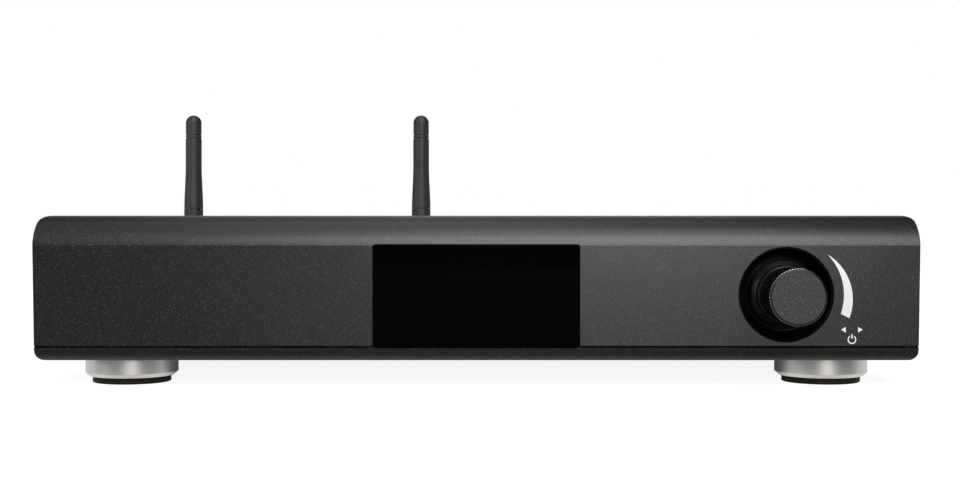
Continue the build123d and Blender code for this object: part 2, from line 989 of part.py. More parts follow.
def network_module():
    """The shielded wireless module on the main board."""
    y = rear_inner_y - network_to_rear - network_length / 2
    top = board_high + network_height
    shield = block(
        about(network_x, network_width), about(y, network_length), (board_high, top)
    )
    return fillet(shield.edges().filter_by(Axis.Z), edge_break)


def filter_capacitors():
    """The supply's row of smoothing capacitors."""
    middle = (capacitor_count - 1) / 2
    y = power_board_y - power_board_length / 4
    cans = []
    for step in range(capacitor_count):
        x = power_board_x + (step - middle) * capacitor_pitch
        top = board_high + capacitor_height
        cans.append(rod_z(capacitor_radius, board_high, top, x, y))
    return cans


def heat_sink():
    """The finned heat sink of the supply's regulators."""
    y = power_board_y + power_board_length / 4
    back = y + heat_sink_depth / 2
    z = (board_high, board_high + heat_sink_height)
    sink = block(about(power_board_x, heat_sink_width), (back - heat_sink_wall, back), z)
    pitch = (heat_sink_width - fin_wall) / (fin_count - 1)
    for step in range(fin_count):
        x = power_board_x + (step - (fin_count - 1) / 2) * pitch
        sink += block(about(x, fin_wall), (back - heat_sink_depth, back), z)
    return sink


def toroid():
    """The toroidal transformer, a taped ring with sloped shoulders on its rubber pad."""
    low = pan_top + toroid_pad_wall
    ring = extrude(Circle(toroid_radius) - Circle(toroid_bore_radius), toroid_height)
    outer = ring.edges().filter_by(GeomType.CIRCLE).group_by(SortBy.RADIUS)[-1]
    ring = chamfer(outer, toroid_shoulder)
    return Pos(toroid_x, toroid_y, low) * ring


def toroid_pad():
    """The rubber pad under the transformer."""
    high = pan_top + toroid_pad_wall
    return rod_z(toroid_radius, pan_top, high, toroid_x, toroid_y)


def toroid_clamp():
    """The dished washer and bolt that hold the transformer down."""
    top = pan_top + toroid_pad_wall + toroid_height
    high = top + toroid_washer_wall
    clamp = rod_z(toroid_washer_radius, top, high, toroid_x, toroid_y)
    low = pan_top + toroid_pad_wall
    clamp += rod_z(bolt_radius, low, high, toroid_x, toroid_y)
    head_top = high + bolt_head_height
    clamp += rod_z(bolt_head_radius, top, head_top, toroid_x, toroid_y)
    return clamp


def inlet_shape(width, height, chamfer_length):
    """The inlet's outline: a rectangle with its two upper corners cut."""
    outline = Pos(inlet_x, inlet_height) * Rectangle(width, height)
    upper = outline.vertices().sort_by(Axis.Y)[-2:]
    return chamfer(upper, chamfer_length)


def mains_inlet():
    """The three-pin appliance inlet, its flange outside the rear panel."""
    flange = RectangleRounded(inlet_flange_width, inlet_flange_height, edge_break)
    outline = Pos(inlet_x, inlet_height) * flange
    front = rear_y + inlet_flange_wall
    inlet = along_y(outline, rear_y, front)
    shell = Pos(inlet_x, inlet_height) * Rectangle(inlet_body_width, inlet_body_height)
    inlet += along_y(shell, front - inlet_body_length, front)
    mouth = inlet_shape(inlet_socket_width, inlet_socket_height, inlet_socket_chamfer)
    inlet -= along_y(mouth, front - inlet_socket_depth, front + overrun)
    for x, z in inlet_pin_places():
        inlet -= block(
            about(x, pin_thickness + 2 * thread_gap),
            (rear_y - inlet_body_length - overrun, rear_y),
            about(z, pin_width + 2 * thread_gap),
        )
    return inlet


def inlet_pin_places():
    """The earth pin above and the two live pins below."""
    low = inlet_height - pin_rise
    return [
        (inlet_x - pin_spread, low),
        (inlet_x, inlet_height + pin_rise),
        (inlet_x + pin_spread, low),
    ]


def mains_pins():
    """The inlet's three blades, with their tags inside the case."""
    floor = rear_y + inlet_flange_wall - inlet_socket_depth
    back = rear_y + inlet_flange_wall - inlet_body_length - pin_tail
    return [
        block(about(x, pin_thickness), (back, floor + pin_reach), about(z, pin_width))
        for x, z in inlet_pin_places()
    ]


def rocker_housing():
    """The switch's frame, hollow for the rocker, with holes for its trunnions."""
    front = rear_y + rocker_bezel_wall
    bezel = Pos(rocker_x, inlet_height) * RectangleRounded(
        rocker_bezel_width, rocker_bezel_height, edge_break
    )
    housing = along_y(bezel, rear_y, front)
    shell_width = rocker_bezel_width - 2 * rocker_bezel_wall
    shell_height = rocker_bezel_height - rocker_bezel_wall
    shell = Pos(rocker_x, inlet_height) * Rectangle(shell_width, shell_height)
    housing += along_y(shell, front - rocker_body_length, front)
    hollow = Pos(rocker_x, inlet_height) * Rectangle(
        rocker_width + 2 * seat_gap, 2 * (rocker_swing_radius + seat_gap)
    )
    floor = front - rocker_body_length + rocker_bezel_wall
    housing -= along_y(hollow, floor, front + overrun)
    pivot_y = rear_y - rocker_pivot_depth
    half = rocker_width / 2 + trunnion_reach
    housing -= rod_x(
        trunnion_radius + running_gap, rocker_x - half, rocker_x + half, pivot_y, inlet_height
    )
    return housing


def power_rocker():
    """The rocker, tipped to one stop, with a shallow valley across its face."""
    tip = rocker_pivot_depth + rocker_tip_rise
    valley = rocker_pivot_depth + rocker_valley_rise
    half = rocker_swing_radius
    tail = -rocker_tail
    section = make_face(
        Polyline((tail, -half), (tip, -half), (valley, 0), (tip, half), (tail, half), close=True)
    )
    section &= Circle(half)
    rocker = along_x(section, -rocker_width / 2, rocker_width / 2)
    reach = rocker_width / 2 + trunnion_reach - seat_gap
    rocker += rod_x(trunnion_radius, -reach, reach)
    tipped = Rot(rocker_half_angle, 0, 0) * rocker
    return Pos(rocker_x, rear_y - rocker_pivot_depth, inlet_height) * tipped


def rca_block(x_places):
    """The moulded block behind one or two round sockets."""
    width = x_places[-1] - x_places[0] + rca_block_width
    middle = (x_places[0] + x_places[-1]) / 2
    z = (board_high, board_high + rca_block_height)
    shape = block(about(middle, width), (rear_inner_y - rca_block_length, rear_inner_y), z)
    for x in x_places:
        inner = rca_shell_radius - rca_shell_wall - running_gap
        end = rear_y + rca_reach - rca_core_recess
        shape += rod_y(inner, rear_inner_y, end, x, rca_z)
        shape -= rod_y(rca_core_radius, rear_inner_y - rca_block_length / 2, end, x, rca_z)
    return shape


def rca_shells():
    """The metal shells of the three round sockets, flanged against the panel."""
    shells = []
    for x in rca_places:
        shell = rod_y(rca_shell_radius, rear_inner_y, rear_y + rca_reach, x, rca_z)
        shell += rod_y(rca_flange_radius, rear_y, rear_y + rca_flange_wall, x, rca_z)
        inner = rca_shell_radius - rca_shell_wall
        shell -= rod_y(inner, rear_inner_y, rear_y + rca_reach, x, rca_z)
        shells.append(shell)
    return shells


def optical_socket():
    """The square optical socket, with the emitter's barrel at the bottom of its mouth."""
    end = rear_y + socket_reach
    z = board_high + optical_height / 2
    socket = block(
        about(optical_x, optical_width), (end - optical_length, end), about(z, optical_height)
    )
    socket -= block(
        about(optical_x, optical_mouth), (end - optical_depth, end), about(z, optical_mouth)
    )
    floor = end - optical_depth
    socket += rod_y(optical_lens_radius, floor, floor + optical_lens_reach, optical_x, z)
    return socket


def usb_socket():
    """The flat data socket, its tongue in the upper half of the mouth."""
    end = rear_y + socket_reach
    z = board_high + usb_height / 2
    socket = block(about(usb_x, usb_width), (end - usb_length, end), about(z, usb_height))
    socket -= block(
        about(usb_x, usb_mouth_width), (end - usb_depth, end), about(z, usb_mouth_height)
    )
    tongue_top = z + usb_mouth_height / 2 - edge_break
    socket += block(
        about(usb_x, usb_tongue_width),
        (end - usb_depth, end - edge_break),
        (tongue_top - usb_tongue_wall, tongue_top),
    )
    return socket


def ethernet_socket():
    """The network socket, with the notch for the plug's latch below its mouth."""
    end = rear_y + socket_reach
    middle = board_high + ethernet_height / 2
    socket = block(
        about(ethernet_x, ethernet_width),
        (end - ethernet_length, end),
        about(middle, ethernet_height),
    )
    mouth_low = middle - ethernet_mouth_height / 2 + latch_rise / 2
    depth = (end - ethernet_depth, end)
    mouth_z = (mouth_low, mouth_low + ethernet_mouth_height)
    socket -= block(about(ethernet_x, ethernet_mouth_width), depth, mouth_z)
    socket -= block(about(ethernet_x, latch_width), depth, (mouth_low - latch_rise, mouth_low))
    return socket


def aerial_socket(x):
    """The threaded bulkhead socket, its flange against the inside of the rear panel."""
    z = connector_height
    socket = rod_y(barrel_radius, rear_y - barrel_tail, rear_y + barrel_reach, x, z)
    flange = Pos(x, z) * hexagon(lock_nut_across)
    socket += along_y(flange, rear_inner_y - lock_nut_thickness, rear_inner_y)
    return socket


def aerial_nuts(x):
    """The lock nut on the panel and the coupling nut that carries the aerial."""
    z = connector_height
    bore = rod_y(barrel_radius + running_gap, rear_y, rear_y + barrel_reach + fit_gap, x, z)
    lock = along_y(Pos(x, z) * hexagon(lock_nut_across), rear_y, rear_y + lock_nut_thickness)
    start = rear_y + lock_nut_thickness + seat_gap
    coupling = along_y(Pos(x, z) * hexagon(coupling_across), start, start + coupling_length)
    spigot_end = start + coupling_length + spigot_reach
    coupling += rod_y(spigot_radius, start + coupling_length / 2, spigot_end, x, z)
    return [lock - bore, coupling - bore]


def aerial_elbow(x):
    """The moulded elbow: it turns on the coupling's spigot and ends in a fork."""
    z = connector_height
    start = rear_y + lock_nut_thickness + coupling_length + 2 * seat_gap
    fork_low = z + elbow_bend_radius
    path = Plane.YZ * FilletPolyline(
        (start, z), (aerial_y, z), (aerial_y, fork_low + overrun), radius=elbow_bend_radius
    )
    ring = Plane(origin=(0, start, z), z_dir=(0, 1, 0)) * Circle(whip_base_radius)
    elbow = sweep(ring, path=path)
    fork_top = pivot_z + whip_base_radius
    fork = rod_z(whip_base_radius, fork_low, fork_top, 0, aerial_y)
    rounded = rod_x(whip_base_radius, -half_width, half_width, aerial_y, pivot_z)
    rounded += block(
        about(0, case_width), about(aerial_y, 2 * whip_base_radius), (fork_low, pivot_z)
    )
    elbow = elbow + (fork & rounded)
    slot_width = tongue_width + 2 * tongue_side_gap
    slot_low = pivot_z - whip_base_radius - tongue_side_gap
    elbow -= block(
        about(0, slot_width), about(aerial_y, 2 * whip_base_radius + overrun), (slot_low, case_width)
    )
    reach = hinge_pin_half() + running_gap
    elbow -= rod_x(hinge_pin_radius + running_gap, -reach, reach, aerial_y, pivot_z)
    elbow -= rod_y(
        spigot_radius + running_gap, start - overrun, start + spigot_reach, 0, z
    )
    return Pos(x, 0, 0) * elbow


def hinge_pin_half():
    """Half the length of the hinge pin, a little inside the fork's cheeks."""
    return whip_base_radius - hinge_pin_inset


def aerial_pin(x):
    """The pin that the whip folds on."""
    half = hinge_pin_half()
    return Pos(x, 0, 0) * rod_x(hinge_pin_radius, -half, half, aerial_y, pivot_z)


def whip_section():
    """Half of the whip's outline as radius against height above the pivot."""
    tip = whip_length
    dome = [
        (whip_cap_radius * run, tip - whip_dome * drop)
        for run, drop in whip_dome_shares
    ]
    groove_radius = whip_cap_radius - whip_groove_depth
    first = tip - cap_length
    second = first - groove_pitch
    shoulder = whip_base_radius + seat_gap
    outline = Polyline(
        (0, tip),
        *dome,
        (whip_cap_radius, tip - whip_dome),
        (whip_cap_radius, first + whip_groove_half),
        (groove_radius, first),
        (whip_cap_radius, first - whip_groove_half),
        (whip_cap_radius, second + whip_groove_half),
        (groove_radius, second),
        (whip_waist_radius, second - whip_groove_half),
        (whip_waist_radius, tip - taper_start),
        (whip_base_radius, tip - taper_end),
        (whip_base_radius, shoulder),
        (0, shoulder),
        close=True,
    )
    return make_face(outline)


def aerial_whip(x):
    """The tapered whip with its ringed cap, ending below in the hinge's tongue."""
    whip = revolve(Plane.XZ * whip_section(), Axis.Z)
    end = whip_base_radius - tongue_end_gap
    shoulder = whip_base_radius + seat_gap
    tongue = rod_z(whip_base_radius, -end, shoulder + edge_break)
    rounded = rod_x(end, -whip_base_radius, whip_base_radius)
    rounded += block(
        about(0, 2 * whip_base_radius), about(0, 2 * whip_base_radius), (0, shoulder + edge_break)
    )
    tongue &= rounded
    tongue &= block(
        about(0, tongue_width),
        about(0, 2 * whip_base_radius),
        (-whip_base_radius, shoulder + edge_break),
    )
    whip += tongue
    whip -= rod_x(hinge_pin_radius + running_gap, -whip_base_radius, whip_base_radius)
    return Pos(x, aerial_y, pivot_z) * whip


def display_ribbon():
    """The flat cable from the display board down and back to the main board."""
    start = face_wall_y + board_wall
    drop = board_high + ribbon_rise
    landing = main_board_front + ribbon_width / 2
    down = block(
        about(ribbon_x, ribbon_width), (start, start + ribbon_wall), (drop, display_z)
    )
    run = block(
        about(ribbon_x, ribbon_width),
        (start, landing),
        (drop, drop + ribbon_wall),
    )
    foot = block(
        about(ribbon_x, ribbon_width),
        (landing - ribbon_wall, landing),
        (board_high, drop),
    )
    return down + run + foot


def aerial_leads():
    """The thin coaxial leads from the aerial sockets to the wireless module."""
    leads = []
    top = board_high + network_height
    landing_y = rear_inner_y - network_to_rear - network_length / 2
    for side, x in zip((-1, 1), aerials.values()):
        start_y = rear_y - barrel_tail
        landing_x = network_x + side * network_width / 4
        route = Polyline(
            (x, start_y, connector_height),
            (x, start_y - lead_tail, connector_height),
            (landing_x, landing_y, connector_height - lead_rise),
            (landing_x, landing_y, top),
        )
        ring = Plane(origin=(x, start_y, connector_height), z_dir=(0, -1, 0)) * Circle(lead_radius)
        leads.append(sweep(ring, path=route, transition=Transition.RIGHT))
    return leads


def write(name, shape):
    """Write one sub-part, or a group of separate solids, under its name."""
    solids = shape if isinstance(shape, list) else [shape]
    parts = [solid for item in solids for solid in item.solids()]
    result = parts[0] if len(parts) == 1 else Compound(children=parts)
    export_step(result, os.path.join("parts", name + ".step"))


def main():
    """Build and write every sub-part."""
    os.makedirs("parts", exist_ok=True)
    write("front_panel", front_panel())
    write("display_lens", display_lens())
    write("display_module", display_module())
    write("display_board", display_board())
    write("display_screws", display_screws())
    write("knob_well", knob_well())
    write("knob", knob())
    write("knob_grub_screw", knob_grub_screw())
    write("encoder_shaft", encoder_shaft())
    write("encoder_body", encoder_body())
    write("encoder_plunger", encoder_plunger())
    write("encoder_nut", encoder_nut())
    write("encoder_board", encoder_board())
    write("top_cover", top_cover())
    write("base_pan", base_pan())
    write("rear_panel", rear_panel())
    for name, (x, y) in feet.items():
        write("foot_" + name, foot_shell(x, y))
        write("foot_pad_" + name, foot_pad(x, y))
    write("foot_bolts", foot_bolts())
    write("case_screws", case_screws())
    write(
        "main_board",
        circuit_board(main_board_x, main_board_y, main_board_width, main_board_length),
    )
    write("main_board_chips", main_board_chips())
    write("network_module", network_module())
    write(
        "power_board",
        circuit_board(power_board_x, power_board_y, power_board_width, power_board_length),
    )
    write("filter_capacitors", filter_capacitors())
    write("heat_sink", heat_sink())
    write("standoffs", standoffs())
    write("board_screws", board_screws())
    write("transformer", toroid())
    write("transformer_pad", toroid_pad())
    write("transformer_clamp", toroid_clamp())
    write("mains_inlet", mains_inlet())
    write("mains_pins", mains_pins())
    write("rocker_housing", rocker_housing())
    write("power_rocker", power_rocker())
    write("line_out_block", rca_block(rca_places[:2]))
    write("digital_out_block", rca_block(rca_places[2:]))
    write("rca_shells", rca_shells())
    write("optical_socket", optical_socket())
    write("usb_socket", usb_socket())
    write("ethernet_socket", ethernet_socket())
    for side, x in aerials.items():
        write(f"aerial_{side}_socket", aerial_socket(x))
        write(f"aerial_{side}_nuts", aerial_nuts(x))
        write(f"aerial_{side}_elbow", aerial_elbow(x))
        write(f"aerial_{side}_pin", aerial_pin(x))
        write(f"aerial_{side}_whip", aerial_whip(x))
    write("display_ribbon", display_ribbon())
    write("aerial_leads", aerial_leads())


if __name__ == "__main__":
    main()
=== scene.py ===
"""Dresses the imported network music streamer: shapes, finishes, light and camera."""

import json
import logging
import math
from dataclasses import dataclass
from enum import Enum
from typing import Iterable, Sequence

import bmesh
import bpy
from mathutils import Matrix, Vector

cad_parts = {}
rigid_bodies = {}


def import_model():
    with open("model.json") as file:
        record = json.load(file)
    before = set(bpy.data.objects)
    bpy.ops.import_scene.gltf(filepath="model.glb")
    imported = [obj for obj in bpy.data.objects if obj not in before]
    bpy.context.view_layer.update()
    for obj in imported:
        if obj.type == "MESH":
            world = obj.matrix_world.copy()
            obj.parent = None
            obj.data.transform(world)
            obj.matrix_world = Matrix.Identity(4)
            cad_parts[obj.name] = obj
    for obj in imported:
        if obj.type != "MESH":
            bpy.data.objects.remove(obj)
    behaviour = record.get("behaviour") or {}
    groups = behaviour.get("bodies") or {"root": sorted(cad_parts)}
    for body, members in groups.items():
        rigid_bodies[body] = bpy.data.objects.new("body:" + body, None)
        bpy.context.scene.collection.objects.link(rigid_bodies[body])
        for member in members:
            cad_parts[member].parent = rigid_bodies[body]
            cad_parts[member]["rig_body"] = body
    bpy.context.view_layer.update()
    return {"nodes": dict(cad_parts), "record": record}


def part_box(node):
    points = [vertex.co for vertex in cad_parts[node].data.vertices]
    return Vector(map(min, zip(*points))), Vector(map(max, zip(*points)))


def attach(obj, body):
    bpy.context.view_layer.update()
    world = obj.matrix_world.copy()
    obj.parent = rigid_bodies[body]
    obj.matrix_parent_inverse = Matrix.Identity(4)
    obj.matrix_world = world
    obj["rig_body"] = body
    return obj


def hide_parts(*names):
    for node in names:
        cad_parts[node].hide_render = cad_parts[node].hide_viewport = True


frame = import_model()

MM = 0.001
LOG = logging.getLogger("streamer")
ORIGIN = Vector((0, 0, 0))
X, Y, Z = Vector((1, 0, 0)), Vector((0, 1, 0)), Vector((0, 0, 1))
DOWN = Vector((0, 0, -1))

Point = tuple[float, float]
Triple = tuple[float, float, float]
Span = tuple[float, float, float, float]
Station = tuple[Vector, Vector, Vector]
Piece = bpy.types.Object
Socket = bpy.types.NodeSocket


class Axis(Enum):
    """The line that a turned piece is turned about."""

    DEPTH = "y"
    HEIGHT = "z"


class Body(Enum):
    """The CAD bodies that pieces ride on, apart from the aerials' own."""

    CASE = "case"
    KNOB = "knob"


# ---- meshes


def arc(centre: Point, radius: float, start: float, end: float, steps: int) -> list[Point]:
    """Points on an arc.

    Args:
        centre: The arc's centre.
        radius: Its radius.
        start: The first point's angle in degrees.
        end: The last point's angle in degrees.
        steps: How many parts the arc is cut into.

    Returns:
        The points in order, both ends among them.
    """
    turns = [math.radians(start + (end - start) * i / steps) for i in range(steps + 1)]
    return [(centre[0] + radius * math.cos(t), centre[1] + radius * math.sin(t)) for t in turns]


def softened(
    points: Sequence[Point], radius: float, steps: int = 4, closed: bool = False
) -> list[Point]:
    """An outline with its corners rounded.

    Args:
        points: The corners.
        radius: The rounding, made smaller where a side is short.
        steps: How many parts a corner is cut into.
        closed: Whether the last corner joins the first.

    Returns:
        The rounded outline.
    """
    sharpest, flattest, side_share = 1e-3, math.radians(176), 0.45
    made: list[Point] = []
    count = len(points)
    for i, corner in enumerate(points):
        if not closed and i in (0, count - 1):
            made.append(corner)
            continue
        here = Vector(corner)
        before = Vector(points[i - 1]) - here
        after = Vector(points[(i + 1) % count]) - here
        angle = before.angle(after, 0.0)
        if angle < sharpest or angle > flattest:
            made.append(corner)
            continue
        shortest = min(before.length * side_share, after.length * side_share)
        reach = min(radius / math.tan(angle / 2), shortest)
        first = here + before.normalized() * reach
        last = here + after.normalized() * reach
        for k in range(steps + 1):
            t = k / steps
            spot = first * (1 - t) ** 2 + here * 2 * t * (1 - t) + last * t**2
            made.append((spot.x, spot.y))
    return made


def middle_of(node: str) -> Vector:
    """The middle of a CAD node's box."""
    low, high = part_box(node)
    return (low + high) / 2


def new_piece(name: str, data: bpy.types.ID) -> Piece:
    """An object at the origin from a mesh, a lamp or a camera, linked to the scene."""
    piece = bpy.data.objects.new(name, data)
    bpy.context.scene.collection.objects.link(piece)
    return piece


def from_bmesh(name: str, shape: bmesh.types.BMesh) -> Piece:
    """A piece from a bmesh, its doubles merged and its faces turned outwards."""
    bmesh.ops.remove_doubles(shape, verts=shape.verts, dist=1e-7)
    bmesh.ops.recalc_face_normals(shape, faces=shape.faces)
    mesh = bpy.data.meshes.new(name)
    shape.to_mesh(mesh)
    shape.free()
    return new_piece(name, mesh)


def settle(piece: Piece) -> Piece:
    """Bakes a piece's modifiers into a plain mesh."""
    evaluated = piece.evaluated_get(bpy.context.evaluated_depsgraph_get())
    mesh = bpy.data.meshes.new_from_object(evaluated)
    piece.modifiers.clear()
    old = piece.data
    piece.data = mesh
    bpy.data.meshes.remove(old)
    mesh.name = piece.name
    return piece


def shade(piece: Piece, angle: float) -> Piece:
    """Smooth shading, sharp where faces meet at more than an angle, weighted by area."""
    mesh = piece.data
    for polygon in mesh.polygons:
        polygon.use_smooth = True
    mesh.set_sharp_from_angle(angle=math.radians(angle))
    weights = piece.modifiers.new("weights", "WEIGHTED_NORMAL")
    weights.keep_sharp = True
    weights.weight = 60
    return settle(piece)


def remove(piece: Piece) -> None:
    """Deletes a helper object and its mesh."""
    mesh = piece.data
    bpy.data.objects.remove(piece)
    bpy.data.meshes.remove(mesh)


def cut(piece: Piece, tool: Piece, operation: str = "DIFFERENCE") -> Piece:
    """Cuts a piece with a tool, which is deleted.

    Args:
        piece: The piece to cut.
        tool: The closed mesh to cut with.
        operation: DIFFERENCE or INTERSECT.

    Returns:
        The piece.
    """
    boolean = piece.modifiers.new("cut", "BOOLEAN")
    boolean.operation = operation
    boolean.solver = "EXACT"
    boolean.object = tool
    settle(piece)
    remove(tool)
    return piece


def turned(
    name: str, outline: Sequence[Point], axis: Axis, centre: Vector, segments: int
) -> Piece:
    """A turned piece.

    Args:
        name: The piece's name.
        outline: Radius and place along the axis, in millimetres, closed.
        axis: The line that it is turned about.
        centre: A point on that line, in metres.
        segments: How many facets go round.

    Returns:
        The piece.
    """
    shape = bmesh.new()
    rings: list[list[bmesh.types.BMVert]] = []
    for radius, along in outline:
        ring = []
        for i in range(segments if radius > 1e-6 else 1):
            turn = 2 * math.pi * i / segments
            a, b = radius * MM * math.cos(turn), radius * MM * math.sin(turn)
            place = (a, along * MM, b) if axis is Axis.DEPTH else (a, b, along * MM)
            ring.append(shape.verts.new(centre + Vector(place)))
        rings.append(ring)
    for first, second in zip(rings, rings[1:] + rings[:1]):
        if len(first) == 1 and len(second) == 1:
            continue
        for i in range(segments):
            j = (i + 1) % segments
            near = [first[k % len(first)] for k in (i, j)]
            far = [second[k % len(second)] for k in (j, i)]
            corners = list(dict.fromkeys(near + far))
            if len(corners) > 2:
                shape.faces.new(corners)
    return from_bmesh(name, shape)


def lofted(name: str, rings: Sequence[Sequence[Vector]]) -> Piece:
    """A closed piece through rings of as many points each, in metres."""
    shape = bmesh.new()
    made = [[shape.verts.new(place) for place in ring] for ring in rings]
    count = len(made[0])
    for first, second in zip(made, made[1:]):
        for i in range(count):
            j = (i + 1) % count
            shape.faces.new((first[i], first[j], second[j], second[i]))
    shape.faces.new(made[0])
    shape.faces.new(made[-1])
    return from_bmesh(name, shape)


def swept(name: str, outline: Sequence[Point], path: Sequence[Station]) -> Piece:
    """A closed piece from an outline carried along a path.

    Args:
        name: The piece's name.
        outline: The closed outline in millimetres.
        path: For each station its origin in metres, and the directions of the outline's axes.

    Returns:
        The piece, closed at both ends.
    """
    rings = []
    for origin, across, up in path:
        rings.append([origin + across * (a * MM) + up * (b * MM) for a, b in outline])
    return lofted(name, rings)


def prism(name: str, outline: Sequence[Point], start: float, end: float) -> Piece:
    """A piece drawn as X against Z and made solid along Y, all in millimetres."""
    return swept(name, outline, [(Vector((0, y * MM, 0)), X, Z) for y in (start, end)])


def rounded_rectangle(width: float, height: float, radius: float, centre: Point) -> list[Point]:
    """A rectangle's outline with round corners, in millimetres."""
    a, b = width / 2, height / 2
    corners = [(-a, -b), (a, -b), (a, b), (-a, b)]
    placed = [(centre[0] + x, centre[1] + z) for x, z in corners]
    return softened(placed, radius, 6, closed=True)


def framed(name: str, size: Triple, centre: Triple, steps: Sequence[Point]) -> Piece:
    """A rounded rectangle carried along Y, larger or smaller at each step.

    Args:
        name: The piece's name.
        size: The rectangle's width, height and corner radius, in millimetres.
        centre: The middle of its front, in metres.
        steps: How much it grows on each side and how far back, in millimetres.

    Returns:
        The piece.
    """
    width, height, radius = size
    stations = []
    for grow, depth in steps:
        origin = Vector((centre[0], centre[1] + depth * MM, centre[2]))
        across, up = X * ((width + 2 * grow) / width), Z * ((height + 2 * grow) / height)
        stations.append((origin, across, up))
    return swept(name, rounded_rectangle(width, height, radius, (0.0, 0.0)), stations)


def merged_copy(node: str, name: str) -> Piece:
    """A copy of a CAD node's mesh as a piece of its own, its loose triangles joined."""
    mesh = frame["nodes"][node].data.copy()
    mesh.name = name
    piece = new_piece(name, mesh)
    shape = bmesh.new()
    shape.from_mesh(mesh)
    bmesh.ops.remove_doubles(shape, verts=shape.verts, dist=2e-6)
    shape.to_mesh(mesh)
    shape.free()
    mesh.materials.clear()
    return piece


# ---- finishes


def grey(level: float) -> Triple:
    """A grey of one level."""
    return (level, level, level)


class Sheet:
    """A node tree that is being built, with short ways to add and join nodes."""

    def __init__(self, tree: bpy.types.NodeTree) -> None:
        """Keeps the tree."""
        self.tree = tree

    def node(self, kind: str, **settings: object) -> bpy.types.Node:
        """Adds a node.

        Args:
            kind: The node's Blender type.
            settings: Attributes to set; a name that starts with in_ sets that input.

        Returns:
            The node.
        """
        node = self.tree.nodes.new(kind)
        for key, value in settings.items():
            if not key.startswith("in_"):
                setattr(node, key, value)
        for key, value in settings.items():
            if key.startswith("in_"):
                self.feed(node, key[3:].replace("_", " "), value)
        return node

    def feed(self, node: bpy.types.Node, key: object, value: object) -> None:
        """Sets an input to a value, or joins it to another node's output."""
        if isinstance(key, str) and key.isdigit():
            key = int(key)
        socket = node.inputs[key]
        if isinstance(value, Socket):
            self.tree.links.new(value, socket)
        elif isinstance(value, tuple) and socket.type == "RGBA" and len(value) == 3:
            socket.default_value = (*value, 1.0)
        else:
            socket.default_value = value

    def maths(self, operation: str, *values: object, clamp: bool = False) -> Socket:
        """A Math node's output for the values given."""
        node = self.node("ShaderNodeMath", operation=operation, use_clamp=clamp)
        for i, value in enumerate(values):
            self.feed(node, i, value)
        return node.outputs[0]

    def times(self, first: object, second: object) -> Socket:
        """A product."""
        return self.maths("MULTIPLY", first, second)

    def remap(self, *values: object) -> Socket:
        """A Map Range node's output, clamped, for a value, its span and the span to make."""
        node = self.node("ShaderNodeMapRange")
        for i, value in enumerate(values):
            self.feed(node, i, value)
        return node.outputs[0]

    def blend(self, share: object, first: object, second: object) -> Socket:
        """A colour between two by a share."""
        node = self.node("ShaderNodeMix", data_type="RGBA")
        for key, value in ((0, share), (6, first), (7, second)):
            self.feed(node, key, value)
        return node.outputs[2]

    def noise(self, place: object, scale: object, detail: float) -> Socket:
        """A Noise Texture's plain value."""
        node = self.node("ShaderNodeTexNoise", in_Vector=place, in_Scale=scale, in_Detail=detail)
        return node.outputs[0]


def emptied(holder: bpy.types.Material | bpy.types.World) -> Sheet:
    """A sheet on the node tree of a material or a world, which is emptied."""
    holder.use_nodes = True
    holder.node_tree.nodes.clear()
    return Sheet(holder.node_tree)


FLOAT, VECTOR = "NodeSocketFloat", "NodeSocketVector"
PLACE = ("Place", VECTOR, (0, 0, 0))


def new_group(
    name: str, inputs: Sequence[tuple[str, str, object]], outputs: Sequence[str]
) -> tuple[Sheet, bpy.types.NodeOutputs, bpy.types.Node]:
    """A shader node group with its named sockets.

    Args:
        name: The group's name.
        inputs: Name, socket type and starting value of each input.
        outputs: Name of each output, all of them plain numbers.

    Returns:
        A sheet on the group, the values that come in, and its output node.
    """
    group = bpy.data.node_groups.new(name, "ShaderNodeTree")
    for label, kind, value in inputs:
        socket = group.interface.new_socket(label, in_out="INPUT", socket_type=kind)
        socket.default_value = value
    for label in outputs:
        group.interface.new_socket(label, in_out="OUTPUT", socket_type=FLOAT)
    sheet = Sheet(group)
    return sheet, sheet.node("NodeGroupInput").outputs, sheet.node("NodeGroupOutput")


